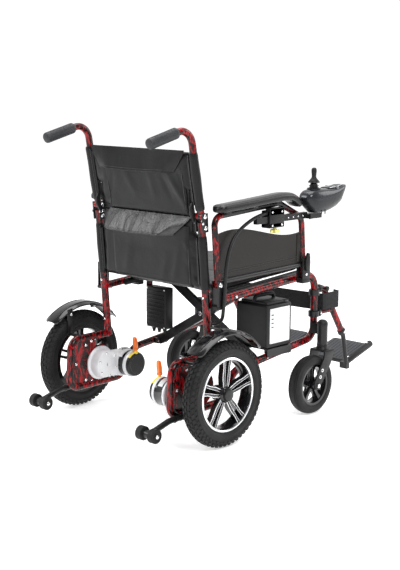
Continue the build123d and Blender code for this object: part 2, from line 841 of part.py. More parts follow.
def calf_strap():
    """Band behind the calves, wrapped round the outside of both hangers."""
    out = FRAME_X + LEG_R + SOFT + 4
    high = HANGER_Z - LEG_R - 2.5
    low = high - 58
    rear = -572.0
    front = -660.0
    body = box(-out, out, rear - 4, rear, low, high)
    for s in (-1, 1):
        body += box(s * (out - 4), s * out, front, rear, low, high)
        body += box(s * (FRAME_X - LEG_R - 8), s * out, front, front + 4, low, high)
    return one(body)


# ---------------------------------------------------------------- power
def battery():
    """Battery case that hangs between the right frame's rails."""
    case = box(-FRAME_X - 14, -BAT_IN, BAT_Y0, BAT_Y1, BAT_Z0, BAT_Z1)
    case = fillet(case.edges().filter_by(Axis.Z), radius=8)
    lid = box(-FRAME_X - 4, -BAT_IN - 14, BAT_Y0 + 16, BAT_Y1 - 14, BAT_Z1, BAT_Z1 + 22)
    lid -= box(-FRAME_X + 26, -BAT_IN - 40, BAT_Y0 - 9, BAT_Y1 + 9, BAT_Z1 + 8, BAT_Z1 + 16)
    return one(case + lid)


def battery_tray():
    """Shelf on the right lower rail with a plate down its outer side."""
    floor = BAT_Z0 - 0.2
    y0 = BAT_Y0 + 4
    y1 = BAT_Y1 - 4
    body = box(-FRAME_X - 15, -BAT_IN, y0, y1, floor - 3, floor)
    body += box(-FRAME_X - 15, -FRAME_X - 11.5, y0, y1, 205, floor)
    return body + box(-FRAME_X + 4, -FRAME_X - 4, y0 + 6, y1 - 6, low_z(y0), floor)


def box_hanger():
    """Plate down from the left seat rail that the controller is screwed to."""
    x = FRAME_X - TUBE_R + 4
    y0 = BOX_Y0 + 7
    y1 = BOX_Y1 - 7
    return box(x, x + 3, y0, y1, 300, rail_z(y0))


def controller_box():
    x0 = 123.0
    x1 = FRAME_X - TUBE_R + 4
    body = box(x0, x1, BOX_Y0, BOX_Y1, 250, 390)
    return fillet(body.edges().filter_by(Axis.Y), radius=6)


# ---------------------------------------------------------------- brace, seat
def brace(s):
    """Cross arm from the lower pivot on side s to the other seat tube."""
    y = BRACE_Y + s * (BRACE_T + BRACE_GAP) / 2
    top_x = -s * SEAT_X
    top_z = rail_z(y) + 4
    a = Vector(s * PIVOT_X, y, PIVOT_Z)
    b = Vector(top_x, y, top_z)
    d = (b - a).normalized()
    b -= d * 9
    n = Vector(-d.Z, 0, d.X) * (BRACE_H / 2)
    lift = Vector(0, BRACE_T / 2, 0)
    corners = [a + n - lift, b + n - lift, b - n - lift, a - n - lift]
    face = make_face(Polyline(*[tuple(c) for c in corners], close=True))
    bar = extrude(face, amount=BRACE_T, dir=(0, 1, 0))
    reach = BRACE_T + BRACE_GAP / 2
    bar += rod_y(BRACE_Y - reach, BRACE_Y + reach, s * PIVOT_X, PIVOT_Z, 12)
    bar += seat_tube(-s, SEAT_TUBE_R)
    bar -= rod_y(BRACE_Y - 40, BRACE_Y + 40, s * PIVOT_X, PIVOT_Z, PIN_R + RUN)
    return bar


def cross_z():
    """Height at which the two arms cross on the middle plane."""
    top = rail_z(BRACE_Y) + 4
    share = PIVOT_X / (PIVOT_X + SEAT_X)
    return PIVOT_Z + share * (top - PIVOT_Z)


def cross_brace_a():
    """Right arm, with the middle bolt."""
    body = brace(-1)
    return one(body + rod_y(BRACE_Y - 18, BRACE_Y + 22, 0, cross_z(), PIN_R))


def cross_brace_b():
    body = brace(1)
    return one(body - rod_y(BRACE_Y - 40, BRACE_Y + 40, 0, cross_z(), PIN_R + RUN))


def seat_cushion():
    """Seat upholstery across the two seat tubes."""
    half = SEAT_X + 8
    y0 = SEAT_Y0 + 8
    y1 = SEAT_Y1 - 6
    lift = 4 + SEAT_TUBE_R + SOFT
    pairs = [
        (y0, rail_z(y0) + lift),
        (y1, rail_z(y1) + lift),
        (y1, rail_z(y1) + lift + 30),
        (y0, rail_z(y0) + lift + 30),
    ]
    return slab_x(0, 2 * half, pairs)


# ---------------------------------------------------------------- cable
def joystick_cable():
    """Cable from the joystick's block down beside the armrest to the frame."""
    x = -ARM_X - 20
    path = [
        (x, -242, 669),
        (x, -180, 664),
        (x, -66, 598),
        (x, -52, 400),
        (x + 12, -56, 352),
        (x + 31, -31, 352),
    ]
    return tube(path, [60, 60, 60, 16], 5.5)


# ---------------------------------------------------------------- write
def main():
    for s, side in ((-1, "right"), (1, "left")):
        save(f"{side}_side_frame", side_frame(s))
        save(f"{side}_drive_motor", *drive_motor(s))
        save(f"{side}_brake_lever", brake_lever(s))
        save(f"{side}_drive_tyre", drive_tyre(s))
        save(f"{side}_drive_rim", *drive_rim(s))
        save(f"{side}_fender", fender(s))
        save(f"{side}_anti_tip_arm", anti_tip_arm(s))
        save(f"{side}_anti_tip_wheels", *anti_tip_wheels(s))
        save(f"{side}_castor_fork", castor_fork(s))
        save(f"{side}_castor_wheel", *castor_wheel(s))
        save(f"{side}_back_tube", back_tube(s))
        save(f"{side}_grip", grip(s))
        save(f"{side}_back_latch", back_latch(s))
        save(f"{side}_armrest_frame", armrest_frame(s))
        save(f"{side}_arm_pad", arm_pad(s))
        save(f"{side}_skirt_panel", skirt_panel(s))
        save(f"{side}_armrest_lock", armrest_lock(s))
        save(f"{side}_legrest_tube", legrest_tube(s))
        save(f"{side}_legrest_extension", legrest_extension(s))
        save(f"{side}_footplate", footplate(s))
    save("backrest_lower", backrest_lower())
    save("backrest_upper", backrest_upper())
    save("clamp_block", clamp_block())
    save("joystick_arm", joystick_arm())
    save("joystick_housing", joystick_housing())
    save("joystick_gimbal_ring", joystick_gimbal())
    save("joystick_boot", joystick_boot())
    save("joystick_stick", joystick_stick())
    for k in range(4):
        save(f"joystick_button_{k + 1}", button(k))
    save("clamp_knob", clamp_knob())
    save("calf_strap", calf_strap())
    save("battery", battery())
    save("controller_box", controller_box())
    save("cross_brace_a", cross_brace_a())
    save("cross_brace_b", cross_brace_b())
    save("seat_cushion", seat_cushion())
    save("joystick_cable", joystick_cable())


main()
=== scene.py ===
"""Looks of the folding power wheelchair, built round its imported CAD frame."""
import math

import bmesh
import bpy
import numpy as np
from mathutils import Matrix, Vector


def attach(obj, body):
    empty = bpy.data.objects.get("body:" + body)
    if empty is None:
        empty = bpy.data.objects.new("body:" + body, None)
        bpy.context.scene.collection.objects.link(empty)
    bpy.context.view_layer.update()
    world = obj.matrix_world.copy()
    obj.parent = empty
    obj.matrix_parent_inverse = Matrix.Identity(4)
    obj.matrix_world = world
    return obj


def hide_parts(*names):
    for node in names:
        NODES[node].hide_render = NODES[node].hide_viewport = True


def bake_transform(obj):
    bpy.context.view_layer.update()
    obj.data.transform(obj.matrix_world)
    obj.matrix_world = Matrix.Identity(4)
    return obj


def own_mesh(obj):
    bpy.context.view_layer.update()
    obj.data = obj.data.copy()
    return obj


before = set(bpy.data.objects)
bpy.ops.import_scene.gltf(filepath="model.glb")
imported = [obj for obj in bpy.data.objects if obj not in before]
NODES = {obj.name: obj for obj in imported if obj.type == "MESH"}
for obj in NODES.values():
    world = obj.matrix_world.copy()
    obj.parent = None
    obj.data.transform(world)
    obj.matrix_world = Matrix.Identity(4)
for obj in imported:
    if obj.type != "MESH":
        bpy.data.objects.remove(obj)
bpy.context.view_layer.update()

# Lengths below are millimetres, with the rear axle at Y 0. pt() turns them into
# metres in the row frame.
AXLE_Y = 318.561
MM = 0.001
SIDES = (("right", -1), ("left", 1))


def pt(x, y, z):
    return Vector((x, y + AXLE_Y, z)) * MM


# ---- camera ----
EYE = pt(-2626.4, 2542.5, 1091.1)
YAW, PITCH = -0.769, 0.146
LENS = 75.9
SHIFT = (0.0932, -0.0621)


def make_camera():
    cam = bpy.data.objects.new("camera", bpy.data.cameras.new("camera"))
    bpy.context.scene.collection.objects.link(cam)
    ahead = Vector((math.cos(YAW) * math.cos(PITCH), math.sin(YAW) * math.cos(PITCH), -math.sin(PITCH)))
    cam.location = EYE
    cam.rotation_mode = "QUATERNION"
    cam.rotation_quaternion = ahead.to_track_quat("-Z", "Y")
    cam.data.sensor_width = 36
    cam.data.lens = LENS
    cam.data.shift_x, cam.data.shift_y = SHIFT
    cam.data.clip_end = 50
    bpy.context.scene.camera = cam


def area_light(name, at, aim, size, power):
    data = bpy.data.lights.new(name, "AREA")
    data.shape = "RECTANGLE"
    data.size, data.size_y = size
    data.energy = power
    lamp = bpy.data.objects.new(name, data)
    bpy.context.scene.collection.objects.link(lamp)
    lamp.location = at
    lamp.rotation_mode = "QUATERNION"
    lamp.rotation_quaternion = (Vector(aim) - Vector(at)).to_track_quat("-Z", "Y")


def make_studio():
    world = bpy.data.worlds.new("studio")
    bpy.context.scene.world = world
    world.use_nodes = True
    # White beyond the chair and darker on the side the photograph was taken from.
    tree = world.node_tree
    way = tree.nodes.new("ShaderNodeTexCoord").outputs["Generated"]
    dot = tree.nodes.new("ShaderNodeVectorMath")
    dot.operation = "DOT_PRODUCT"
    dot.inputs[1].default_value = (math.cos(YAW), math.sin(YAW), 0)
    tree.links.new(way, dot.inputs[0])
    power = tree.nodes.new("ShaderNodeMapRange")
    power.inputs["From Min"].default_value, power.inputs["From Max"].default_value = -0.5, 0.75
    power.inputs["To Min"].default_value, power.inputs["To Max"].default_value = 0.28, 1.05
    tree.links.new(dot.outputs["Value"], power.inputs["Value"])
    tree.links.new(power.outputs["Result"], tree.nodes["Background"].inputs[1])
    tree.nodes["Background"].inputs[0].default_value = (1, 1, 1, 1)
    bpy.context.scene.view_settings.view_transform = "Standard"
    area_light("key", (-2.6, 1.2, 2.6), (0, 0, 0.4), (1.2, 1.2), 62)
    area_light("rim", (2.2, 2.6, 2.2), (0, 0, 0.5), (1.4, 1.4), 50)
    area_light("top", (0.2, -0.2, 3.2), (0, 0, 0.3), (2.2, 2.2), 60)
    area_light("front", (-1.6, -2.8, 1.8), (0, 0, 0.4), (1.6, 1.6), 26)
    bm = bmesh.new()
    bmesh.ops.create_grid(bm, x_segments=1, y_segments=1, size=14)
    me = bpy.data.meshes.new("floor")
    bm.to_mesh(me)
    bm.free()
    floor = bpy.data.objects.new("floor", me)
    bpy.context.scene.collection.objects.link(floor)
    pale = Nodes("floor_pale", (0.98, 0.98, 0.98), 0.95, spec=0.0)
    pale.set("Emission Color", (1, 1, 1, 1))
    pale.set("Emission Strength", 0.45)
    me.materials.append(pale.mat)


# ---- materials ----
MATS = {}


class Nodes:
    """Short way to add and join a material's nodes."""

    def __init__(self, name, color, rough, metal=0.0, coat=0.0, spec=0.5, sheen=0.0):
        self.mat = bpy.data.materials.new(name)
        self.mat.use_nodes = True
        self.tree = self.mat.node_tree
        self.bsdf = self.tree.nodes["Principled BSDF"]
        self.set("Base Color", (*color, 1))
        self.set("Roughness", rough)
        self.set("Metallic", metal)
        self.set("Coat Weight", coat)
        self.set("Coat Roughness", 0.12)
        self.set("Specular IOR Level", spec)
        if sheen:
            self.set("Sheen Weight", sheen)
            self.set("Sheen Roughness", 0.4)
        self.coord = self.add("ShaderNodeTexCoord").outputs["Object"]

    def set(self, key, value):
        self.bsdf.inputs[key].default_value = value

    def add(self, kind, **values):
        node = self.tree.nodes.new(kind)
        for key, value in values.items():
            setattr(node, key, value)
        return node

    def link(self, a, b):
        self.tree.links.new(a, b)

    def mapped(self, scale):
        node = self.add("ShaderNodeMapping")
        node.inputs["Scale"].default_value = scale
        self.link(self.coord, node.inputs["Vector"])
        return node.outputs["Vector"]

    def noise(self, scale, detail=3.0, distort=0.0, stretch=(1, 1, 1)):
        node = self.add("ShaderNodeTexNoise")
        node.inputs["Scale"].default_value = scale
        node.inputs["Detail"].default_value = detail
        node.inputs["Distortion"].default_value = distort
        self.link(self.mapped(stretch), node.inputs["Vector"])
        return node.outputs["Fac"]

    def cells(self, scale, feature="F1", stretch=(1, 1, 1)):
        node = self.add("ShaderNodeTexVoronoi", feature=feature)
        node.inputs["Scale"].default_value = scale
        self.link(self.mapped(stretch), node.inputs["Vector"])
        return node.outputs["Distance"]

    def wave(self, scale, axis="X", distort=0.0):
        node = self.add("ShaderNodeTexWave", wave_type="BANDS", bands_direction=axis)
        node.inputs["Scale"].default_value = scale
        node.inputs["Distortion"].default_value = distort
        self.link(self.coord, node.inputs["Vector"])
        return node.outputs["Fac"]

    def ramp(self, fac, stops):
        node = self.add("ShaderNodeValToRGB")
        elements = node.color_ramp.elements
        while len(elements) < len(stops):
            elements.new(0.5)
        for element, (at, color) in zip(elements, stops):
            element.position = at
            element.color = (*color, 1) if len(color) == 3 else color
        self.link(fac, node.inputs["Fac"])
        return node.outputs["Color"]

    def span(self, fac, lo, hi):
        node = self.add("ShaderNodeMapRange")
        node.inputs["To Min"].default_value = lo
        node.inputs["To Max"].default_value = hi
        self.link(fac, node.inputs["Value"])
        return node.outputs["Result"]

    def color(self, socket):
        self.link(socket, self.bsdf.inputs["Base Color"])

    def rough(self, socket):
        self.link(socket, self.bsdf.inputs["Roughness"])

    def bump(self, socket, strength, distance=0.001, after=None):
        node = self.add("ShaderNodeBump")
        node.inputs["Strength"].default_value = strength
        node.inputs["Distance"].default_value = distance
        self.link(socket, node.inputs["Height"])
        if after is not None:
            self.link(after, node.inputs["Normal"])
        self.link(node.outputs["Normal"], self.bsdf.inputs["Normal"])
        return node.outputs["Normal"]


def plain(name, color, rough, metal=0.0, grain=0.12, scale=400.0, coat=0.0, spec=0.5):
    """A smooth finish with slight cloudiness and fine grain."""
    if name in MATS:
        return MATS[name]
    n = Nodes(name, color, rough, metal, coat, spec)
    cloud = n.noise(9.0, 3.0)
    dark = tuple(c * 0.86 for c in color)
    light = tuple(min(1.0, c * 1.1) for c in color)
    n.color(n.ramp(cloud, [(0.3, dark), (0.7, light)]))
    n.rough(n.span(n.noise(45.0, 4.0), max(0.02, rough * 0.8), min(1.0, rough * 1.22)))
    n.bump(n.noise(scale, 2.0), grain, 0.0004)
    MATS[name] = n.mat
    return n.mat


def make_materials():
    n = Nodes("crackle_paint", (0.1, 0.01, 0.01), 0.26, 0.0, 0.2, 0.22)
    veins = n.noise(52.0, 5.0, 2.2, (1.0, 1.0, 0.42))
    n.color(n.ramp(veins, [(0.45, (0.004, 0.002, 0.002)), (0.51, (0.05, 0.001, 0.002)),
                           (0.58, (0.26, 0.002, 0.004)), (0.74, (0.42, 0.004, 0.008))]))
    n.bump(n.noise(120.0, 3.0), 0.08, 0.0004)
    MATS["crackle"] = n.mat

    n = Nodes("leatherette", (0.006, 0.006, 0.007), 0.4, 0.0, 0.03, 0.24)
    n.color(n.ramp(n.noise(6.0, 4.0), [(0.3, (0.003, 0.003, 0.0035)), (0.75, (0.007, 0.007, 0.008))]))
    n.rough(n.span(n.noise(14.0, 5.0), 0.28, 0.5))
    first = n.bump(n.noise(13.0, 5.0, 0.6), 0.35, 0.006)
    n.bump(n.cells(1150.0, "SMOOTH_F1"), 0.35, 0.0004, first)
    MATS["leatherette"] = n.mat

    # Pocket flap's leatherette: its base colour is lighter than the cover's, a painted sheen for the light the flap
    # catches as it faces up.
    n = Nodes("flap_painted_sheen", (0.03, 0.03, 0.032), 0.38, 0.0, 0.1, 0.5)
    n.color(n.ramp(n.noise(11.0, 4.0), [(0.3, (0.006, 0.006, 0.007)), (0.75, (0.026, 0.026, 0.028))]))
    n.rough(n.span(n.noise(18.0, 5.0), 0.26, 0.48))
    first = n.bump(n.noise(24.0, 4.0, 1.2, (1.6, 1.0, 0.6)), 0.55, 0.008)
    n.bump(n.cells(1150.0, "SMOOTH_F1"), 0.3, 0.0004, first)
    MATS["flap"] = n.mat

    n = Nodes("webbing", (0.015, 0.015, 0.016), 0.7, 0.0, 0.0, 0.2, 0.1)
    n.bump(n.wave(420.0, "Z", 0.4), 0.5, 0.0005)
    n.rough(n.span(n.noise(60.0), 0.6, 0.85))
    n.color(n.ramp(n.wave(420.0, "Z", 0.4), [(0.2, (0.010, 0.010, 0.011)), (0.9, (0.024, 0.024, 0.026))]))
    MATS["webbing"] = n.mat

    n = Nodes("thread", (0.05, 0.05, 0.052), 0.6)
    n.bump(n.wave(900.0, "Z"), 0.4, 0.0003)
    n.color(n.ramp(n.noise(200.0), [(0.3, (0.035, 0.035, 0.036)), (0.8, (0.07, 0.07, 0.072))]))
    MATS["thread"] = n.mat

    n = Nodes("tyre_rubber", (0.016, 0.016, 0.017), 0.6, 0.0, 0.0, 0.28)
    n.color(n.ramp(n.noise(16.0, 5.0), [(0.3, (0.008, 0.008, 0.008)), (0.8, (0.018, 0.018, 0.019))]))
    n.rough(n.span(n.noise(38.0, 4.0), 0.45, 0.75))
    n.bump(n.noise(700.0, 2.0), 0.2, 0.0004)
    MATS["tyre"] = n.mat

    n = Nodes("skirt_plastic", (0.012, 0.010, 0.009), 0.42, 0.0, 0.0, 0.28)
    n.color(n.ramp(n.noise(5.0, 3.0, 0.0, (1, 0.4, 1.4)),
                   [(0.3, (0.007, 0.0058, 0.005)), (0.8, (0.015, 0.0125, 0.011))]))
    n.bump(n.noise(900.0, 2.0), 0.25, 0.0003)
    n.rough(n.span(n.noise(12.0, 3.0), 0.34, 0.5))
    MATS["skirt"] = n.mat

    n = Nodes("grip_rubber", (0.035, 0.036, 0.040), 0.5, spec=0.3)
    n.color(n.ramp(n.noise(30.0, 4.0), [(0.3, (0.022, 0.023, 0.026)), (0.8, (0.038, 0.039, 0.044))]))
    n.bump(n.noise(500.0, 2.0), 0.25, 0.0004)
    MATS["grip"] = n.mat

    plain("black_satin", (0.011, 0.011, 0.012), 0.3, 0.0, 0.1, 300.0, 0.08, 0.3)
    plain("black_gloss", (0.006, 0.006, 0.007), 0.14, 0.0, 0.04, 60.0, 0.25, 0.4)
    plain("black_plastic", (0.011, 0.011, 0.012), 0.44, 0.0, 0.3, 900.0, 0.0, 0.3)
    plain("pad_black", (0.009, 0.009, 0.010), 0.3, 0.0, 0.2, 1200.0, 0.08, 0.35)
    plain("cast_silver", (0.74, 0.75, 0.77), 0.42, 0.25, 0.35, 420.0)
    plain("label_white", (0.86, 0.87, 0.88), 0.45, 0.0, 0.05, 200.0)
    plain("chrome", (0.80, 0.80, 0.81), 0.16, 1.0, 0.03, 80.0)
    plain("machined", (0.82, 0.83, 0.85), 0.24, 0.9, 0.1, 700.0)
    plain("orange", (0.86, 0.17, 0.015), 0.38, 0.0, 0.1, 500.0, 0.2)
    plain("yellow", (0.93, 0.72, 0.06), 0.4, 0.0, 0.1, 500.0, 0.1)
    plain("knob_yellow", (0.90, 0.82, 0.22), 0.4, 0.0, 0.1, 500.0, 0.1)
    plain("shell_grey", (0.022, 0.024, 0.029), 0.24, 0.3, 0.05, 900.0, 0.3, 0.4)
    plain("shell_dark", (0.010, 0.011, 0.013), 0.32, 0.0, 0.15, 900.0, 0.1, 0.3)
    plain("face_silver", (0.80, 0.81, 0.83), 0.36, 0.25, 0.08, 800.0)
    plain("foot_grey", (0.040, 0.042, 0.048), 0.42, 0.0, 0.35, 700.0, 0.0, 0.35)
    plain("steel_grey", (0.07, 0.072, 0.078), 0.36, 0.55, 0.12, 500.0)
    plain("button_grey", (0.20, 0.21, 0.23), 0.45, 0.0, 0.1, 500.0)
    plain("led_green", (0.10, 0.42, 0.20), 0.3, 0.0, 0.05, 200.0)


# ---- meshes ----
def build(name, verts, faces, mats, body, angle=38.0, index=None):
    """An object from millimetre vertices, with its outside facing out."""
    me = bpy.data.meshes.new(name)
    me.from_pydata([pt(*v) for v in verts], [], faces)
    for m in mats if isinstance(mats, (list, tuple)) else [mats]:
        me.materials.append(MATS[m])
    if index is not None:
        me.polygons.foreach_set("material_index", index)
    bm = bmesh.new()
    bm.from_mesh(me)
    bmesh.ops.recalc_face_normals(bm, faces=bm.faces)
    bm.to_mesh(me)
    bm.free()
    me.shade_smooth()
    me.set_sharp_from_angle(angle=math.radians(angle))
    obj = bpy.data.objects.new(name, me)
    bpy.context.scene.collection.objects.link(obj)
    if body:
        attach(obj, body)
    return obj


class Pile:
    """Vertices and faces of one object gathered from several shapes."""

    def __init__(self):
        self.verts, self.faces, self.index = [], [], []

    def add(self, shape, slot=0):
        verts, faces = shape
        base = len(self.verts)
        self.verts.extend(verts)
        self.faces.extend([[base + i for i in f] for f in faces])
        self.index.extend([slot] * len(faces))

    def build(self, name, mats, body, angle=38.0):
        return build(name, self.verts, self.faces, mats, body, angle, self.index)


def rings(loops, closed=False, caps=True):
    """Faces that skin a list of equal loops of points."""
    n = len(loops[0])
    verts = [tuple(p) for loop in loops for p in loop]
    faces = []
    count = len(loops) if closed else len(loops) - 1
    for i in range(count):
        a, b = i * n, ((i + 1) % len(loops)) * n
        for j in range(n):
            k = (j + 1) % n
            faces.append([a + j, a + k, b + k, b + j])
    if caps and not closed:
        faces.append(list(range(n))[::-1])
        faces.append([(len(loops) - 1) * n + j for j in range(n)])
    return verts, faces


def rounded(points, radii, step=9.0):
    """Points with their inner corners rounded by arcs of the radii."""
    points = [Vector(p) for p in points]
    out = [points[0]]
    for i in range(1, len(points) - 1):
        a, b, c = points[i - 1], points[i], points[i + 1]
        u, v = (a - b).normalized(), (c - b).normalized()
        half = u.angle(v) / 2
        if radii[i - 1] <= 0 or abs(half - math.pi / 2) < 1e-3:
            out.append(b)
            continue
        cut = radii[i - 1] / math.tan(half)
        centre = b + (u + v).normalized() * (radii[i - 1] / math.sin(half))
        start, end = b + u * cut - centre, b + v * cut - centre
        turn = start.angle(end)
        steps = max(3, int(math.degrees(turn) / step) + 1)
        for k in range(steps + 1):
            t = k / steps
            p = (start * math.sin((1 - t) * turn) + end * math.sin(t * turn)) / math.sin(turn)
            out.append(centre + p)
    out.append(points[-1])
    return out


def frames(path):
    """A side and an up direction for each point of a path, without twist."""
    path = [Vector(p) for p in path]
    tangents = []
    for i in range(len(path)):
        a = path[max(0, i - 1)]
        b = path[min(len(path) - 1, i + 1)]
        tangents.append((b - a).normalized())
    side = tangents[0].orthogonal().normalized()
    out = []
    for t in tangents:
        side = (side - t * side.dot(t)).normalized()
        out.append((side, t.cross(side)))
    return out


def pipe(path, radius, seg=20):
    """A round bar along a path. radius is one number or one for each point."""
    path = [Vector(p) for p in path]
    radii = radius if isinstance(radius, (list, tuple)) else [radius] * len(path)
    loops = []
    for p, (s, u), r in zip(path, frames(path), radii):
        loops.append([p + (s * math.cos(a) + u * math.sin(a)) * r
                      for a in (2 * math.pi * k / seg for k in range(seg))])
    return rings(loops)


def turned(profile, centre, axis="X", seg=48, closed=True):
    """Profile of (along, out) turned about an axis through centre."""
    cx, cy, cz = centre
    loops = []
    for k in range(seg):
        a = 2 * math.pi * k / seg
        c, s = math.cos(a), math.sin(a)
        loop = []
        for u, r in profile:
            if axis == "X":
                loop.append((cx + u, cy + r * c, cz + r * s))
            elif axis == "Y":
                loop.append((cx + r * c, cy + u, cz + r * s))
            else:
                loop.append((cx + r * c, cy + r * s, cz + u))
        loops.append(loop)
    n = len(profile)
    verts = [p for loop in loops for p in loop]
    faces = []
    for k in range(seg):
        a, b = k * n, ((k + 1) % seg) * n
        for j in range(n if closed else n - 1):
            m = (j + 1) % n
            faces.append([a + j, a + m, b + m, b + j])
    if not closed:
        faces.append([k * n for k in range(seg)][::-1])
        faces.append([k * n + n - 1 for k in range(seg)])
    return verts, faces


def knob(profile, base, direction, seg=20):
    """Profile of (height, radius) raised from base along a direction, closed."""
    d = Vector(direction).normalized()
    s = d.orthogonal().normalized()
    u = d.cross(s)
    base = Vector(base)
    loops = []
    for h, r in profile:
        loops.append([base + d * h + (s * math.cos(a) + u * math.sin(a)) * r
                      for a in (2 * math.pi * k / seg for k in range(seg))])
    return rings(loops)


DOME = [(0, 1.0), (0.14, 0.99), (0.38, 0.86), (0.55, 0.62), (0.64, 0.3), (0.66, 0.05)]
HEX = [(0, 1.0), (0.55, 1.0), (0.68, 0.86), (0.70, 0.4), (0.70, 0.05)]


def dome(base, direction, r):
    return knob([(h * r, w * r) for h, w in DOME], base, direction, 16)


def hexhead(base, direction, r):
    return knob([(h * r, w * r) for h, w in HEX], base, direction, 6)


def block(x0, x1, y0, y1, z0, z1, bevel=1.5, seg=2):
    """A box with rounded edges."""
    bm = bmesh.new()
    bmesh.ops.create_cube(bm, size=1)
    size = Vector((abs(x1 - x0), abs(y1 - y0), abs(z1 - z0)))
    mid = Vector(((x0 + x1) / 2, (y0 + y1) / 2, (z0 + z1) / 2))
    for v in bm.verts:
        v.co = Vector((v.co.x * size.x, v.co.y * size.y, v.co.z * size.z)) + mid
    if bevel > 0:
        bmesh.ops.bevel(bm, geom=bm.edges[:], offset=min(bevel, min(size) * 0.45), segments=seg,
                        profile=0.5, affect="EDGES")
    verts = [tuple(v.co) for v in bm.verts]
    faces = [[v.index for v in f.verts] for f in bm.faces]
    bm.free()
    return verts, faces


def plate(outline, axis, lo, hi, bevel=1.0):
    """A flat plate from an outline in the two other axes, with eased edges."""
    bm = bmesh.new()
    low, high = [], []
    for a, b in outline:
        p = {"X": (lo, a, b), "Y": (a, lo, b), "Z": (a, b, lo)}[axis]
        q = {"X": (hi, a, b), "Y": (a, hi, b), "Z": (a, b, hi)}[axis]
        low.append(bm.verts.new(p))
        high.append(bm.verts.new(q))
    n = len(outline)
    bm.faces.new(low[::-1])
    bm.faces.new(high)
    for i in range(n):
        j = (i + 1) % n
        bm.faces.new([low[i], low[j], high[j], high[i]])
    if bevel > 0:
        rim = [e for e in bm.edges if e.verts[0] in low and e.verts[1] in low
               or e.verts[0] in high and e.verts[1] in high]
        bmesh.ops.bevel(bm, geom=rim, offset=bevel, segments=2, profile=0.5, affect="EDGES")
    bm.verts.index_update()
    verts = [tuple(v.co) for v in bm.verts]
    faces = [[v.index for v in f.verts] for f in bm.faces]
    bm.free()
    return verts, faces


def paint(node, rule, mats):
    """Gives a CAD node materials; a rule picks one for each face from its middle."""
    obj = NODES[node]
    obj.data.materials.clear()
    for m in mats:
        obj.data.materials.append(MATS[m])
    if rule is not None:
        picks = []
        for face in obj.data.polygons:
            c = face.center
            picks.append(rule(c.x / MM, c.y / MM - AXLE_Y, c.z / MM))
        obj.data.polygons.foreach_set("material_index", picks)
    obj.data.shade_smooth()
    obj.data.set_sharp_from_angle(angle=math.radians(32))


make_materials()
make_camera()
make_studio()


# ---- sizes ----
WHEEL_X, WHEEL_Z = 320.0, 160.0
CASTOR_X, CASTOR_Y, CASTOR_Z = 275.0, -469.0, 95.0
STEM_Y = -527.0
FRAME_X, TUBE_R = 225.0, 12.0
ARM_X = 253.0
TIP_Y, TIP_Z = 230.0, 68.6
BRACE_Y, PIVOT_X, PIVOT_Z, CROSS_Z = -265.0, 200.0, 198.0, 320.9
FACE_OUT = 16.2
CALF_OUT, CALF_Y, CALF_LOW, CALF_HIGH = 238.3, -573.0, 320.0, 376.0
HINGE_Y, HINGE_Z = -2.0, 675.0


def post_y(z):
    """Y of the rear post's middle line below the hinge."""
    return -42.0 + (z - 250.0) / 425.0 * 40.0


def back_y(z):
    """Y of the back tube's middle line above the hinge."""
    return HINGE_Y + (z - HINGE_Z) / 205.0 * 39.0


def rail_z(y):
    """Z of the seat rail's middle line."""
    return 410.0 + (y + 42.0) / (-501.0) * 36.0


def ripple(x, z, size, seed):
    """Repeatable soft waves, about -1 to 1, from a few crossed sines."""
    a = math.sin(x / size + 1.7 * seed + 0.9 * math.sin(z / size * 0.7 + seed))
    b = math.sin(z / size * 1.3 - 0.8 * seed + 1.1 * math.sin(x / size * 0.6 + 2.1 * seed))
    c = math.sin((x + z) / size * 0.55 + 3.1 * seed)
    return (a + b + c) / 3


# ---- drive wheels ----
BOX_FACES = [[0, 1, 2, 3], [4, 5, 6, 7], [0, 1, 5, 4], [1, 2, 6, 5], [2, 3, 7, 6], [3, 0, 4, 7]]


def tyre(side, s):
    pile = Pile()
    section = [(20, 113), (23.5, 117), (25, 124)]
    for deg in range(104, -105, -8):
        a = math.radians(deg)
        section.append((25 * math.sin(a), 133 + 23.6 * math.cos(a)))
    section += [(-25, 124), (-23.5, 117), (-20, 113)]
    pile.add(turned(section, (s * WHEEL_X, 0, WHEEL_Z), seg=96))
    for u in (-1, 1):
        line = [(u * 25.0, 134.5), (u * 26.1, 135.3), (u * 26.1, 136.7), (u * 25.0, 137.5)]
        pile.add(turned(line, (s * WHEEL_X, 0, WHEEL_Z), seg=96))
    rows = [(-8, 8, 0.0, 3.4), (12, 30, 0.5, 3.4), (-30, -12, 0.5, 3.4), (35, 55, 0.0, 3.2),
            (-55, -35, 0.0, 3.2), (61, 78, 0.5, 2.2), (-78, -61, 0.5, 2.2)]
    count = 54
    for k in range(count):
        for lo, hi, shift, high in rows:
            mid = 2 * math.pi * (k + shift) / count
            wide = 2 * math.pi / count * 0.33
            corners = []
            for lift, shrink in ((-1.0, 1.0), (high, 0.82)):
                for a, b in ((lo, -1), (hi, -1), (hi, 1), (lo, 1)):
                    c = (lo + hi) / 2
                    deg = math.radians(c + (a - c) * shrink)
                    skew = 0.35 * wide * (1 if (a == hi) == (lo >= 0) else -1)
                    turn = mid + b * wide * shrink + skew
                    x = (25 + lift) * math.sin(deg)
                    r = 133 + (23.6 + lift) * math.cos(deg)
                    corners.append((s * WHEEL_X + x, r * math.cos(turn), WHEEL_Z + r * math.sin(turn)))
            pile.add((corners, BOX_FACES))
    obj = pile.build(f"{side}_tyre_tread", "tyre", f"{side}_drive_wheel", 40)
    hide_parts(f"{side}_drive_tyre")


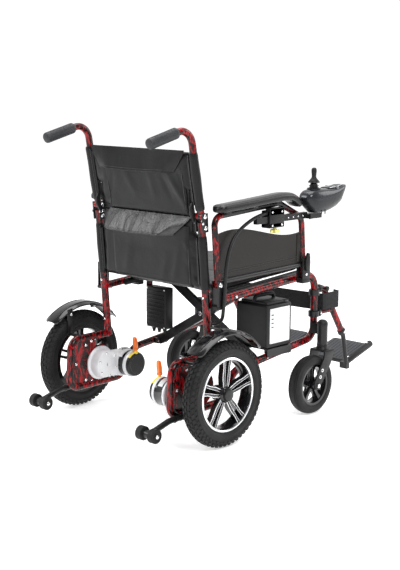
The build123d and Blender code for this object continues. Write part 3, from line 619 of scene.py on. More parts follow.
def rim(side, s):
    c = (s * WHEEL_X, 0, WHEEL_Z)
    pile = Pile()
    barrel = [(-19.5, 100), (-20, 112.6), (17, 112.6), (20, 111.4), (20, 104.4), (12, 99), (-12, 97)]
    pile.add(turned([(s * u, r) for u, r in barrel], c, seg=96))
    band = [(19.0, 111.6), (21.0, 111.2), (22.4, 109.4), (22.4, 106.2), (21.2, 104.2), (19, 104)]
    pile.add(turned([(s * u, r) for u, r in band], c, seg=96), 1)
    hub = [(-29, 8.1), (-29, 22), (-10, 26), (6, 27), (14, 24), (19, 20), (19, 8.1)]
    pile.add(turned([(s * u, r) for u, r in hub], c, seg=48))
    cap = [(19.5, 0.6), (19.5, 19), (23, 19), (25.5, 17.6), (26.4, 14), (26.8, 0.6)]
    pile.add(turned([(s * u, r) for u, r in cap], c, seg=48), 2)
    for k in range(5):
        turn = math.radians(90 + 72 * k)

        def place(rho, tau, u):
            y = rho * math.cos(turn) - tau * math.sin(turn)
            z = rho * math.sin(turn) + tau * math.cos(turn)
            return (c[0] + s * u, c[1] + y, c[2] + z)

        for w in (-1, 1):
            inner = [(20, 2.2), (52, 4.6), (82, 5.8), (103, 7.5)]
            outer = [(20, 11.5), (52, 16.2), (82, 15.2), (103, 18.5)]
            loops = []
            for (r0, t0), (r1, t1) in zip(inner, outer):
                front = 11 + 7 * (r0 / 103) ** 2
                m = (t0 + t1) / 2
                loops.append([place(r0, w * t0, front - 1.5), place(r0, w * (t0 + 1.5), front),
                              place(r1, w * m, front - 0.4), place(r1, w * (t1 - 1.5), front),
                              place(r1, w * t1, front - 1.5), place(r1, w * (t1 - 1), front - 19),
                              place(r0, w * (t0 + 1), front - 19)])
            pile.add(rings(loops))
            for edge in (inner, outer):
                shift = 1.4 if edge is inner else -1.4
                loops = []
                for r0, t0 in edge:
                    front = 11 + 7 * (r0 / 103) ** 2
                    half = 0.4 if edge is inner else 0.8
                    a, b = w * (t0 + shift - half), w * (t0 + shift + half)
                    loops.append([place(r0, a, front - 1), place(r0, a, front + 0.5),
                                  place(r0, b, front + 0.5), place(r0, b, front - 1)])
                pile.add(rings(loops), 1)
    finishes = ["black_gloss", "machined", "black_satin"]
    obj = pile.build(f"{side}_rim_spokes", finishes, f"{side}_drive_wheel", 30)
    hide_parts(f"{side}_drive_rim")


def fender(side, s):
    """Thin curved guard with rolled edges, and its stays."""
    pile = Pile()
    top, bottom = [], []
    across = 17
    along = 48
    for i in range(along + 1):
        t = i / along
        deg = math.radians(47 + 93 * t)
        ease = min(1.0, t / 0.06, (1 - t) / 0.06)
        narrow = 0.62 + 0.38 * math.sqrt(max(0.0, 1 - (1 - ease) ** 2))
        row_t, row_b = [], []
        for j in range(across):
            u = -1 + 2 * j / (across - 1)
            x = 318 + 32 * u * narrow
            drop = 9 * abs(u) ** 3.2
            lip = 1.4 if abs(u) > 0.93 else 0.0
            for row, r in ((row_t, 190.5 - drop + lip), (row_b, 187.8 - drop)):
                row.append((s * x, r * math.cos(deg), WHEEL_Z + r * math.sin(deg)))
        top.append(row_t)
        bottom.append(row_b)
    loops = [a + b[::-1] for a, b in zip(top, bottom)]
    pile.add(rings(loops))
    for u in (-0.55, 0.55):
        rib = []
        for i in range(3, along - 2):
            deg = math.radians(47 + 93 * i / along)
            rib.append((s * (318 + 32 * u), 189.2 * math.cos(deg), WHEEL_Z + 189.2 * math.sin(deg)))
        pile.add(pipe(rib, 1.8, 8))
    pile.add(pipe(rounded([(s * 237, post_y(341), 341), (s * 275, post_y(341), 341),
                            (s * 292, -22, 340)], [12]), 5, 12), 1)
    pile.add(plate([(-44, 330), (-20, 330), (-22, 345), (-42, 345)], "X", s * 284, s * 289, 0.8), 1)
    pile.add(plate([(60, 250), (76, 250), (78, 334), (58, 337)], "X", s * 286.5, s * 290, 0.8), 1)
    pile.add(pipe([(s * 237, 68, 253), (s * 290, 68, 253)], 5, 12), 1)
    for y, z in ((-34, 336), (66, 318)):
        pile.add(dome((s * 284, y, z), (-s, 0, 0), 5), 2)
    obj = pile.build(f"{side}_fender_shell", ["black_gloss", "black_satin", "chrome"], f"{side}_frame", 50)
    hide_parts(f"{side}_fender")


# ---- motors ----
def motor(side, s):
    y = 85.0 if s < 0 else -85.0
    z = 153.0
    face = 222.0
    pile = Pile()

    def sx(profile):
        return [(-s * u, r) for u, r in profile]

    gear = [(0, 6), (0, 54), (5, 55), (7, 52), (9, 47), (30, 45), (38, 42), (42, 30), (42, 6)]
    pile.add(turned(sx(gear), (s * face, 0, WHEEL_Z), seg=64))
    flange = [(16, 6), (16, 45), (18, 48), (24, 48), (26, 45), (28, 6)]
    pile.add(turned(sx(flange), (s * face, y, z), seg=64))
    web = [(0, WHEEL_Z - 40), (y, z - 41), (y, z + 41), (0, WHEEL_Z + 40)]
    pile.add(plate(web, "X", s * (face - 10), s * (face - 41), 3))
    for k in range(5):
        py = y * (0.1 + 0.2 * k)
        pile.add(block(s * (face - 9), s * (face - 42.5), py - 1.2, py + 1.2, z - 37, z + 43, 0.8, 1))
    can = [(24, 6), (24, 43), (26, 43.6), (31, 43.6), (32, 43), (62, 43), (64, 41.5), (64, 6)]
    pile.add(turned(sx(can), (s * face, y, z), seg=64), 2)
    ring = [(62.6, 6), (62.6, 42), (64, 43.4), (71.4, 43.4), (73.0, 42), (74.6, 40), (74.6, 6)]
    pile.add(turned(sx(ring), (s * face, y, z), seg=64))
    cap = [(74, 6), (74, 38.5), (84, 38.5), (86.4, 37), (87.4, 33), (87.4, 29), (86.6, 28), (86.6, 1)]
    pile.add(turned(sx(cap), (s * face, y, z), seg=64), 1)
    band = []
    for k in range(13):
        a = math.radians(35 + 9 * k)
        r = 42.8
        loop = []
        for u, dr in ((34.0, 0), (34.0, 0.8), (52.0, 0.8), (52.0, 0)):
            loop.append((s * (face - u), y + (r + dr) * math.cos(a), z + (r + dr) * math.sin(a)))
        band.append(loop)
    pile.add(rings(band), 0)
    for k in range(6):
        a = math.radians(60 * k + 20)
        base = (s * (face - 25.4), y + 45.4 * math.cos(a), z + 45.4 * math.sin(a))
        pile.add(hexhead(base, (-s, 0, 0), 2.2), 4)
        base = (s * (face - 42), 37 * math.cos(a), WHEEL_Z + 37 * math.sin(a))
        pile.add(dome(base, (-s, 0, 0), 3.4), 4)
    for k in range(3):
        a = math.radians(120 * k + 30)
        base = (s * (face - 87.2), y + 30 * math.cos(a), z + 30 * math.sin(a))
        pile.add(dome(base, (-s, 0, 0), 2.4), 2)
    boss = [(0, 8), (4, 8), (5, 6), (6, 5), (10, 5)]
    pile.add(knob(boss, (s * (face - 80.5), y, z + 36), (0, 0, 1), 20), 3)
    tag = []
    for k in range(13):
        a = math.radians(42 + 8 * k)
        loop = []
        for u, dr in ((74.5, 0), (74.5, 0.9), (84.5, 0.9), (84.5, 0)):
            loop.append((s * (face - u), y + (38.5 + dr) * math.cos(a), z + (38.5 + dr) * math.sin(a)))
        tag.append(loop)
    pile.add(rings(tag), 3)
    obj = pile.build(f"{side}_motor_unit", ["cast_silver", "black_satin", "black_gloss", "yellow", "chrome"],
                     f"{side}_frame", 34)
    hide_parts(f"{side}_drive_motor")
    pile = Pile()
    x = s * (face - 80.5)
    pile.add(knob([(0, 8), (1, 9), (5.4, 9), (6.6, 7), (7, 3)], (x, y, 199.3), (0, 0, 1), 24))
    lean = [(y - 7, 204), (y + 6, 204), (y + 8, 226), (y + 9, 240),
            (y + 5, 244), (y, 243), (y - 2, 236), (y - 6, 222)]
    pile.add(plate(lean, "X", x - 5.5, x + 5.5, 1.6))
    pile.add(plate([(y - 4, 208), (y + 3.4, 208), (y + 5.6, 234), (y, 234)], "X", x - 6.2, x + 6.2, 0.6))
    obj = pile.build(f"{side}_brake_release_lever", "orange", f"{side}_brake_lever", 40)
    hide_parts(f"{side}_brake_lever")


# ---- castors ----
def castor(side, s):
    c = (s * CASTOR_X, CASTOR_Y, CASTOR_Z)
    pile = Pile()
    half = [(16, 66.5), (19.5, 68), (21.4, 74), (21.8, 80), (20.6, 86), (17.4, 90.4), (15.4, 91.6),
            (15.0, 90.4), (13.4, 90.4), (12.8, 92.7), (9.6, 93.8), (9.2, 92.4), (7.6, 92.4), (7.2, 94.4), (2, 95)]
    section = half + [(-u, r) for u, r in half[::-1]]
    pile.add(turned(section, c, seg=80))
    obj = pile.build(f"{side}_castor_tyre", "tyre", f"{side}_castor_wheel", 30)
    pile = Pile()
    barrel = [(-17, 59), (-18, 66.6), (18, 66.6), (17, 59), (12, 57.5), (-12, 57.5)]
    pile.add(turned(barrel, c, seg=72))
    hub = [(-24, 5.2), (-24, 13), (-17, 16.5), (17, 16.5), (24, 13), (24, 5.2)]
    pile.add(turned(hub, c, seg=40))
    for k in range(5):
        turn = math.radians(20 + 72 * k)
        loops = []
        for r, w, d in ((13, 9, 13), (28, 6.4, 10.5), (44, 6.8, 10.5), (60, 10, 14)):
            loop = []
            for t, u in ((-w, -d * 0.7), (-w, d * 0.7), (-w * 0.7, d), (w * 0.7, d),
                         (w, d * 0.7), (w, -d * 0.7), (w * 0.7, -d), (-w * 0.7, -d)):
                yy = r * math.cos(turn) - t * math.sin(turn)
                zz = r * math.sin(turn) + t * math.cos(turn)
                loop.append((c[0] + u, c[1] + yy, c[2] + zz))
            loops.append(loop)
        pile.add(rings(loops))
    for w in (-1, 1):
        seat = [(w * 19, 5.2), (w * 24.6, 5.2), (w * 24.6, 9.5), (w * 19, 9.5)]
        pile.add(turned(seat, c, seg=32), 1)
    obj = pile.build(f"{side}_castor_rim", ["black_gloss", "chrome"], f"{side}_castor_wheel", 34)
    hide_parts(f"{side}_castor_wheel")
    pile = Pile()
    x = s * CASTOR_X
    pile.add(pipe([(x, STEM_Y, 196), (x, STEM_Y, 268)], 7.9, 24), 1)
    crown = [(0, 14), (0.8, 20), (5, 21), (8, 19), (11, 18), (12.4, 16.6), (12.6, 8)]
    pile.add(knob(crown, (x, STEM_Y, 199.4), (0, 0, 1), 36))
    pile.add(block(x - 31, x + 31, STEM_Y - 24, STEM_Y + 24, 197.5, 204, 2.4, 3))
    for w in (-1, 1):
        leg = [(STEM_Y - 24, 202), (STEM_Y + 24, 202), (STEM_Y + 27, 178), (CASTOR_Y + 15, 112),
               (CASTOR_Y + 16, 96), (CASTOR_Y + 10, 84), (CASTOR_Y, 80.5), (CASTOR_Y - 10, 84),
               (CASTOR_Y - 17, 98), (STEM_Y - 8, 158), (STEM_Y - 22, 186)]
        inner = x + w * 26
        pile.add(plate(leg, "X", inner, inner + w * 5, 1.2))
        for k, (yy, zz) in enumerate(((CASTOR_Y - 12, 122), (CASTOR_Y - 22, 142))):
            ring = [(w * 0.0, 3.0), (w * 1.1, 3.2), (w * 1.1, 5.6), (w * 0.0, 6.0)]
            pile.add(turned(ring, (inner + w * 5, yy, zz), seg=24), 1)
            pile.add(knob([(0, 3.6), (0.25, 3.5), (0.26, 0.3)], (inner + w * 4.9, yy, zz), (w, 0, 0), 20), 2)
        pile.add(hexhead((inner + w * 5, CASTOR_Y, CASTOR_Z), (w, 0, 0), 8), 1)
    pile.add(pipe([(x - 31, CASTOR_Y, CASTOR_Z), (x + 31, CASTOR_Y, CASTOR_Z)], 5, 24), 1)
    finishes = ["black_plastic", "chrome", "black_satin"]
    obj = pile.build(f"{side}_fork_plates", finishes, f"{side}_castor_fork", 36)
    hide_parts(f"{side}_castor_fork")


# ---- anti-tippers ----
def anti_tipper(side, s):
    x = s * 246
    pile = Pile()
    pile.add(pipe(rounded([(x, 70, 96), (x, 150, 92), (x, 226, 70)], [60]), 9, 24))
    pile.add(pipe([(x, 58, 96.4), (x, 74, 96)], 10.6, 24))
    for p in ((104, 95), (128, 93.4)):
        pile.add(knob([(-3, 10.4), (-2, 10.8), (2, 10.8), (3, 10.4)], (x, *p), (0, 1, -0.05), 24))
    pile.add(block(s * 237, s * 258, 72, 92, 84, 106, 2))
    pile.add(pipe([(s * 204, TIP_Y, TIP_Z), (s * 281, TIP_Y, TIP_Z)], 4, 16), 1)
    pile.add(knob([(-12, 9), (-10, 12), (10, 12), (12, 9)], (s * 242.5, TIP_Y, TIP_Z), (1, 0, 0), 28))
    for w in (-1, 1):
        pile.add(dome((s * 242.5 + w * 36.5, TIP_Y, TIP_Z), (w, 0, 0), 6.4), 1)
    obj = pile.build(f"{side}_tipper_arm", ["black_satin", "chrome"], f"{side}_frame", 36)
    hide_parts(f"{side}_anti_tip_arm")
    pile = Pile()
    half = [(9.8, 4.1), (9.8, 11), (8.8, 12), (8.8, 16.5), (10.4, 17.5), (10.4, 19.6), (9.2, 20.8)]
    section = [(-u, r) for u, r in half] + half[::-1]
    for w in (218, 267):
        pile.add(turned(section, (s * w, TIP_Y, TIP_Z), seg=48))
    obj = pile.build(f"{side}_tipper_rollers", "tyre", f"{side}_anti_tip_roller", 30)
    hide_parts(f"{side}_anti_tip_wheels")


# ---- frame ----
def paint_frames():
    def frame_rule(x, y, z):
        """Black brackets and battery tray; the tubes and plates between are painted."""
        tray = x < 0 and -412 < y < -293 and 226.5 < z < 231.5
        return int(abs(abs(x) - FRAME_X) > TUBE_R + 0.05 or tray)

    def armrest_rule(x, y, z):
        """Black bottom bar, and black tube under the pad."""
        return int(y < -58 and (466 < z < 500 and y > -440 or z > 668))

    def hanger_rule(x, y, z):
        """Black pivot arms."""
        return int(y > -566)

    two_tone = ["crackle", "black_satin"]
    for side, _ in SIDES:
        paint(f"{side}_side_frame", frame_rule, two_tone)
        paint(f"{side}_back_tube", None, ["crackle"])
        paint(f"{side}_armrest_frame", armrest_rule, two_tone)
        paint(f"{side}_skirt_panel", None, ["skirt"])
        paint(f"{side}_legrest_tube", hanger_rule, two_tone)
        paint(f"{side}_legrest_extension", None, ["black_satin"])
    for node in ("cross_brace_a", "cross_brace_b", "joystick_arm", "joystick_cable"):
        paint(node, None, ["black_satin"])


def bolts(side, s):
    """Domed and hexagon heads that show on the side frame."""
    heads = Pile()
    out = s * 241.3
    inner = s * 208.7
    for y, z, r in ((HINGE_Y, HINGE_Z, 7.5), (post_y(641), 641, 7.5), (HINGE_Y + 8, HINGE_Z - 20, 4.5)):
        heads.add(dome((out, y, z), (s, 0, 0), r))
        heads.add(dome((inner, y, z), (-s, 0, 0), r))
    heads.add(dome((s * 265.8, -46, 470), (s, 0, 0), 9))
    heads.add(dome((s * 265.8, -449, 456), (s, 0, 0), 5))
    for y, z in ((59, 226), (60, 111), (100, 170), (35, 104), (35, 236)):
        heads.add(dome((s * 222, y, z), (-s, 0, 0), 5.4))
        heads.add(dome((s * 228, y, z), (s, 0, 0), 5.4))
    for z in (300, 430):
        heads.add(dome((s * FRAME_X, post_y(z) + 11.8, z), (0, 1, 0), 4))
    for y in (-150, -440):
        heads.add(dome((s * (FRAME_X + 11.6), y, rail_z(y)), (s, 0, 0), 4.6))
    for y in (-300, -400):
        heads.add(dome((s * (FRAME_X + 11.6), y, 205), (s, 0, 0), 4.2))
    heads.build(f"{side}_frame_bolts", "chrome", f"{side}_frame", 40)
    pile = Pile()
    x = s * CASTOR_X
    pile.add(knob([(0, 17), (1, 18), (6, 18), (8, 17.2), (9, 16)], (x, STEM_Y, 212.2), (0, 0, 1), 36))
    dust_cap = [(-8, 17.3), (-2, 17.6), (3, 16.5), (8, 13), (11, 8), (12, 2)]
    pile.add(knob(dust_cap, (x, STEM_Y, 288), (0, 0, 1), 36))
    obj = pile.build(f"{side}_stem_caps", "black_plastic", f"{side}_frame", 40)


# ---- grips, latches ----
def grip(side, s):
    slope = math.tan(math.radians(14.6))
    run = 1 / math.sqrt(1 + slope * slope)
    d = Vector((0, run, -slope * run))
    pile = Pile()
    total = 111.0
    profile = [(-1, 11.2), (-1, 15), (1.5, 16.6), (6, 16.8)]
    at = 8.0
    while at < total - 12:
        profile += [(at, 16.8), (at + 0.7, 16.3), (at + 2.3, 16.3), (at + 3.0, 16.8)]
        at += 4.6
    profile += [(total - 6, 16.8), (total - 2, 15.6), (total, 12), (total + 0.6, 2)]
    pile.add(knob(profile, (s * FRAME_X, 104, 922), d, 40))
    obj = pile.build(f"{side}_grip_sleeve", "grip", f"{side}_back", 34)
    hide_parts(f"{side}_grip")
    x = s * 205.4
    y, z = HINGE_Y + 1, HINGE_Z - 18
    pile = Pile()
    hook = [(y + a, z + b) for a, b in (
        (-6, -3), (4, -6), (14, 6), (26, 24), (27, 44), (20, 58),
        (8, 63), (4, 58), (12, 50), (15, 36), (10, 22), (-3, 8))]
    pile.add(plate(hook, "X", x - 3.1, x + 3.1, 0.9))
    pile.add(knob([(-3.2, 7), (-2.4, 8), (2.4, 8), (3.2, 7)], (x, y, z), (1, 0, 0), 28))
    pile.add(dome((x - s * 3.1, y, z), (-s, 0, 0), 5), 1)
    obj = pile.build(f"{side}_latch_hook", ["black_plastic", "chrome"], f"{side}_back_latch", 36)
    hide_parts(f"{side}_back_latch")


# ---- armrests ----
def arm_pad(side, s):
    bends = [(0, -24, 697), (0, -170, 706), (0, -318, 716), (0, -356, 711), (0, -396, 684)]
    spine = rounded(bends, [500, 300, 60], 4)
    dense = []
    for a, b in zip(spine, spine[1:]):
        parts = max(1, int((b - a).length / 9))
        dense += [a.lerp(b, i / parts) for i in range(parts)]
    dense.append(spine[-1])
    length = sum((b - a).length for a, b in zip(dense, dense[1:]))
    loops = []
    gone = 0.0
    for i, p in enumerate(dense):
        if i:
            gone += (p - dense[i - 1]).length
        a, b = dense[max(0, i - 1)], dense[min(len(dense) - 1, i + 1)]
        t = (b - a).normalized()
        up = Vector((0, -t.z, t.y))
        if up.z < 0:
            up = -up
        end = min(gone, length - gone)
        k = math.sqrt(max(0.0, 1 - max(0.0, 1 - end / 12) ** 2)) * 0.34 + 0.66
        loop = []
        for j in range(36):
            ang = 2 * math.pi * j / 36
            cx, cz = math.cos(ang), math.sin(ang)
            w = math.copysign(abs(cx) ** 0.55, cx) * 25.5 * k
            h = math.copysign(abs(cz) ** (0.75 if cz > 0 else 0.4), cz) * (13.5 if cz > 0 else 12.0) * k
            crease = 1.2 if abs(abs(w) - 19) < 2.2 and cz > 0 else 0.0
            loop.append(Vector((s * 268 + w, 0, 0)) + Vector((0, p.y, p.z)) + up * (h - crease))
        loops.append(loop)
    pile = Pile()
    pile.add(rings(loops))
    obj = pile.build(f"{side}_arm_pad_moulding", "pad_black", f"{side}_armrest", 60)
    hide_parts(f"{side}_arm_pad")
    pile = Pile()
    for y in (-70, -190, -300):
        z = 684 + (-24 - y) * 0.065
        pile.add(block(s * ARM_X - 7, s * 275, y - 11, y + 11, z - 6, z + 3, 1))
        pile.add(dome((s * ARM_X, y, z - 12), (0, 0, -1), 4), 1)
    obj = pile.build(f"{side}_pad_brackets", ["black_plastic", "chrome"], f"{side}_armrest", 40)


def skirt_trim(side, s):
    """Raised border and ribs on the side panel, and the foot's sleeve."""
    pile = Pile()
    x = s * ARM_X
    for w in (-1, 1):
        for z0 in (508, 514):
            pile.add(pipe([(x + w * 2.0, -56, z0 - 8), (x + w * 2.0, -436, z0 + 4)], 1.3, 8))
        pile.add(block(x + w * 1.6, x + w * 3.4, -438, -410, 500, 588, 0.8))
    obj = pile.build(f"{side}_skirt_ribs", "skirt", f"{side}_armrest", 40)
    pile = Pile()
    lx = s * (ARM_X + 9.5 + 0.3 + 3 + 4.3)
    lever = [(-458, 472), (-452, 467), (-445, 467), (-439, 472), (-437, 500), (-441, 514), (-448, 526),
             (-456, 523), (-455, 510), (-459, 498)]
    pile.add(plate(lever, "X", lx - 4, lx + 4, 1.3))
    pile.add(plate([(-455, 484), (-443, 484), (-442, 500), (-454, 500)], "X", lx - 4.8, lx + 4.8, 0.5))
    obj = pile.build(f"{side}_lock_lever", "black_plastic", f"{side}_armrest_lock", 40)
    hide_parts(f"{side}_armrest_lock")
    pile = Pile()
    pile.add(block(s * 238.5, s * 267, -467, -431, 428, 444, 2.5))
    for w in (-1, 1):
        c = x + w * 11.3
        pile.add(block(c - 2.2, c + 2.2, -468, -430, 440, 513, 1.6))
    pile.add(block(s * 239, s * 267, -63, -31, 396, 406, 2))
    obj = pile.build(f"{side}_socket_cover", "black_plastic", f"{side}_frame", 40)


# ---- upholstery ----
PANEL_HALF = 212.0
NOTCH_HALF = 196.0


def fold_with(obj):
    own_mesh(obj)


def puff(obj, voxel, cap, pressure=4.0):
    """Pads a closed cover out by cloth simulation, and keeps the result."""
    scene = bpy.context.scene
    remesh = obj.modifiers.new("remesh", "REMESH")
    remesh.mode = "VOXEL"
    remesh.voxel_size = voxel
    keep_mesh(obj)
    cloth = obj.modifiers.new("cloth", "CLOTH")
    cloth.settings.quality = 4
    cloth.settings.use_pressure = True
    cloth.settings.uniform_pressure_force = pressure
    cloth.settings.effector_weights.gravity = 0
    cloth.settings.shrink_min = -0.03
    cloth.settings.tension_stiffness = 12
    cloth.settings.bending_stiffness = 0.3
    cloth.point_cache.frame_start, cloth.point_cache.frame_end = 1, 20
    for f in range(1, 21):
        scene.frame_set(f)
    rest = np.array([v.co for v in obj.data.vertices])
    puffed = obj.evaluated_get(bpy.context.evaluated_depsgraph_get()).to_mesh()
    moved = np.array([v.co for v in puffed.vertices]) - rest
    obj.modifiers.remove(cloth)
    scene.frame_set(1)
    far = np.linalg.norm(moved, axis=1, keepdims=True)
    rest += moved * np.minimum(1.0, cap / np.maximum(far, 1e-9))
    obj.data.vertices.foreach_set("co", rest.astype(np.float32).ravel())
    obj.modifiers.new("smooth", "SUBSURF").levels = 1
    keep_mesh(obj)
    obj.data.shade_smooth()


def keep_mesh(obj):
    """Makes the modifiers' result the object's own mesh."""
    shaped = obj.evaluated_get(bpy.context.evaluated_depsgraph_get())
    mesh = bpy.data.meshes.new_from_object(shaped)
    obj.modifiers.clear()
    obj.data = mesh


def crease(x, z, lines):
    """Height of soft folds, each a line (x0, z0, x1, z1, width, height)."""
    total = 0.0
    for x0, z0, x1, z1, width, height in lines:
        dx, dz = x1 - x0, z1 - z0
        size = dx * dx + dz * dz
        t = max(0.0, min(1.0, ((x - x0) * dx + (z - z0) * dz) / size))
        off = math.hypot(x - x0 - t * dx, z - z0 - t * dz)
        total += height * math.exp(-(off / width) ** 2) * math.sin(math.pi * min(1.0, 0.15 + 0.85 * t))
    return total


def panel(half, z0, z1, line, front, rear, nx=57, nz=41):
    """Closed padded panel between two tubes; front and rear give its depths."""
    loops = []
    for i in range(nz):
        z = z0 + (z1 - z0) * i / (nz - 1)
        end = min(z - z0, z1 - z)
        ease = math.sqrt(max(0.02, 1 - max(0.0, 1 - end / 13) ** 2))
        w = half(z)
        ahead, behind = [], []
        for j in range(nx):
            u = -1 + 2 * j / (nx - 1)
            x = w * u
            tuck = math.sqrt(max(0.0, 1 - abs(u) ** 10))
            ahead.append((x, line(z) - (4 + (front(x, z) - 4) * ease * tuck), z))
            behind.append((x, line(z) + (4 + (rear(x, z) - 4) * ease * tuck), z))
        loops.append(ahead + behind[::-1])
    return rings(loops)


def upper_half(z):
    return NOTCH_HALF + (PANEL_HALF - NOTCH_HALF) * max(0.0, min(1.0, (z - 750) / 8))


def lower_half(z):
    return PANEL_HALF - (PANEL_HALF - NOTCH_HALF) * max(0.0, min(1.0, (z - 618) / 8))


UPPER_FOLDS = [(-190, 690, -130, 800, 7, 4.5), (-170, 800, -196, 700, 6, -4), (-120, 800, -178, 692, 6, 3.5),
               (-96, 790, -140, 700, 9, -3), (190, 700, 150, 800, 8, 4), (205, 760, 168, 850, 9, 4),
               (60, 790, 20, 710, 14, 2.5), (-40, 800, -60, 705, 12, 2.2), (120, 780, 150, 700, 9, -3)]
LOWER_FOLDS = [(-206, 560, -160, 600, 8, 3), (-200, 480, -160, 540, 9, -3), (-110, 470, -150, 590, 12, 3),
               (-60, 460, -95, 560, 14, 2.5), (100, 470, 60, 590, 16, 2.5), (190, 470, 175, 610, 8, 3)]


def backrest():
    pile = Pile()
    pile.add(panel(upper_half, 677.5, 868, back_y,
                    lambda x, z: 19 + 12 * math.cos(x / PANEL_HALF * math.pi / 2) + ripple(x, z, 38, 1) * 1.2,
                    lambda x, z: 9.5 + ripple(x, z, 26, 2) * 1.3 + crease(x, z, UPPER_FOLDS) * 0.7))
    obj = pile.build("backrest_upper_cover", "leatherette", "right_back", 60)
    puff(obj, 0.006, 0.004)
    fold_with(obj)
    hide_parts("backrest_upper")
    pile = Pile()
    pile.add(panel(lower_half, 452, 676, post_y,
                    lambda x, z: (19 + 12 * math.cos(x / PANEL_HALF * math.pi / 2))
                    * max(0.22, min(1.0, 0.45 + (658 - z) / 60)),
                    lambda x, z: 9.5 + ripple(x, z, 30, 3) * 1.2 + crease(x, z, LOWER_FOLDS) * 0.6))
    obj = pile.build("backrest_lower_cover", "leatherette", "right_frame", 60)
    puff(obj, 0.006, 0.004)
    fold_with(obj)
    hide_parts("backrest_lower")
    cover_web("upper_cover_web", "right_back", 677.2, 748, back_y)
    cover_web("lower_cover_web", "right_frame", 606, 676.8, post_y)
    bag_panel()
    flap("backrest_top_flap", "right_back", (-201, 203), (-150, 176), 869, 803, back_y, (11, 25), 0.3)
    pocket()
    # The pocket flap takes the cloth whose lighter base colour is a painted sheen.
    flap("pocket_flap", "right_frame", (-196, 158), (-124, 172), 672, 612, post_y, (9, 46), 0.9, "flap")
    for side, s in SIDES:
        sleeves(side, s)


def sleeves(side, s):
    """Sewn tubes of the covers that slip over the posts."""
    for name, body, line, z0, z1 in (("upper", "back", back_y, 694, 862), ("lower", "frame", post_y, 456, 616)):
        path, radii = [], []
        for k in range(25):
            z = z0 + (z1 - z0) * k / 24
            path.append((s * FRAME_X, line(z), z))
            radii.append(14.1 + 0.5 * math.sin(z / 17.0 + s) - (1.4 if k in (0, 24) else 0))
        pile = Pile()
        pile.add(pipe(path, radii, 28))
        web = []
        for k in range(2, 23):
            z = z0 + (z1 - z0) * k / 24
            y = line(z)
            web.append([(s * 214, y - 9, z), (s * 204, y - 6, z), (s * 204, y + 9, z), (s * 214, y + 11.5, z)])
        pile.add(rings(web))
        levels = [z0 + (z1 - z0) * k / 24 for k in range(1, 24)]
        seam = [(s * 212.6, line(z) + 11.8, z) for z in levels]
        pile.add(pipe(seam, 0.9, 8), 1)
        obj = pile.build(f"{side}_{name}_sleeve", ["leatherette", "thread"], f"{side}_{body}", 50)


def sheet_shape(grid, thick):
    """Closed thin shell: a grid of points and the same grid moved rearwards."""
    nu, nv = len(grid), len(grid[0])
    verts, faces = [], []
    for lift in (0.0, thick):
        for row in grid:
            verts += [(x, y + lift, z) for x, y, z in row]
    base = nu * nv
    for i in range(nu - 1):
        for j in range(nv - 1):
            a = i * nv + j
            faces.append([a, a + 1, a + nv + 1, a + nv])
            faces.append([base + a, base + a + nv, base + a + nv + 1, base + a + 1])
    border = [i * nv for i in range(nu)] + [(nu - 1) * nv + j for j in range(1, nv)]
    border += [i * nv + nv - 1 for i in range(nu - 2, -1, -1)] + list(range(nv - 2, 0, -1))
    for k, a in enumerate(border):
        b = border[(k + 1) % len(border)]
        faces.append([a, b, base + b, base + a])
    return verts, faces


def cover_web(name, body, z0, z1, line):
    """Plain sheet inside a cover, which closes the seam beside the hinges."""
    levels = [z0 + (z1 - z0) * j / 6 for j in range(7)]
    grid = [[(-201 + 402 * i / 40, line(z) - 1.5, z) for z in levels] for i in range(41)]
    pile = Pile()
    pile.add(sheet_shape(grid, 3.0))
    obj = pile.build(name, "leatherette", body, 50)
    fold_with(obj)


def flap(name, body, top, bottom, z1, z0, line, out, wave, cloth="leatherette"):
    """Cover sheet that hangs from its top edge and flares to its hem."""
    nu, nv = 61, 17
    grid = []
    for i in range(nu):
        u = i / (nu - 1)
        row = []
        for j in range(nv):
            v = j / (nv - 1)
            x0 = top[0] + (bottom[0] - top[0]) * v ** 1.25
            x1 = top[1] + (bottom[1] - top[1]) * v ** 1.25
            x = x0 + (x1 - x0) * u
            sag = 4.0 * math.sin(math.pi * u) * v
            z = z1 + (z0 - z1) * v - sag
            flare = out[0] + (out[1] - out[0]) * (1.25 * v - 0.25 * v * v)
            edge = min(u, 1 - u) * 2
            soft = 3.4 * ripple(x, z * 0.4, 13, 5) + 2.6 * math.sin(x / 16.0) ** 3
            soft = wave * soft * v * min(1.0, edge * 5)
            tuck = 1.0 - 0.45 * v * max(0.0, 1 - edge * 4)
            row.append((x, line(z) + flare * tuck + soft, z))
        grid.append(row)
    pile = Pile()
    pile.add(sheet_shape(grid, 2.2))
    hem = [row[-1] for row in grid]
    hem = [(x, y + 1.1, z) for x, y, z in hem]
    left = [(x, y + 1.1, z) for x, y, z in grid[0][2:]]
    right = [(x, y + 1.1, z) for x, y, z in grid[-1][2:]]
    for line_points in (hem, left, right):
        pile.add(pipe(line_points, 1.9, 10))
    stitch = [(x, y + 2.7, z + 6) for x, y, z in (row[-1] for row in grid[2:-2])]
    pile.add(pipe(stitch, 0.5, 6), 1)
    obj = pile.build(name, [cloth, "thread"], body, 50)
    fold_with(obj)


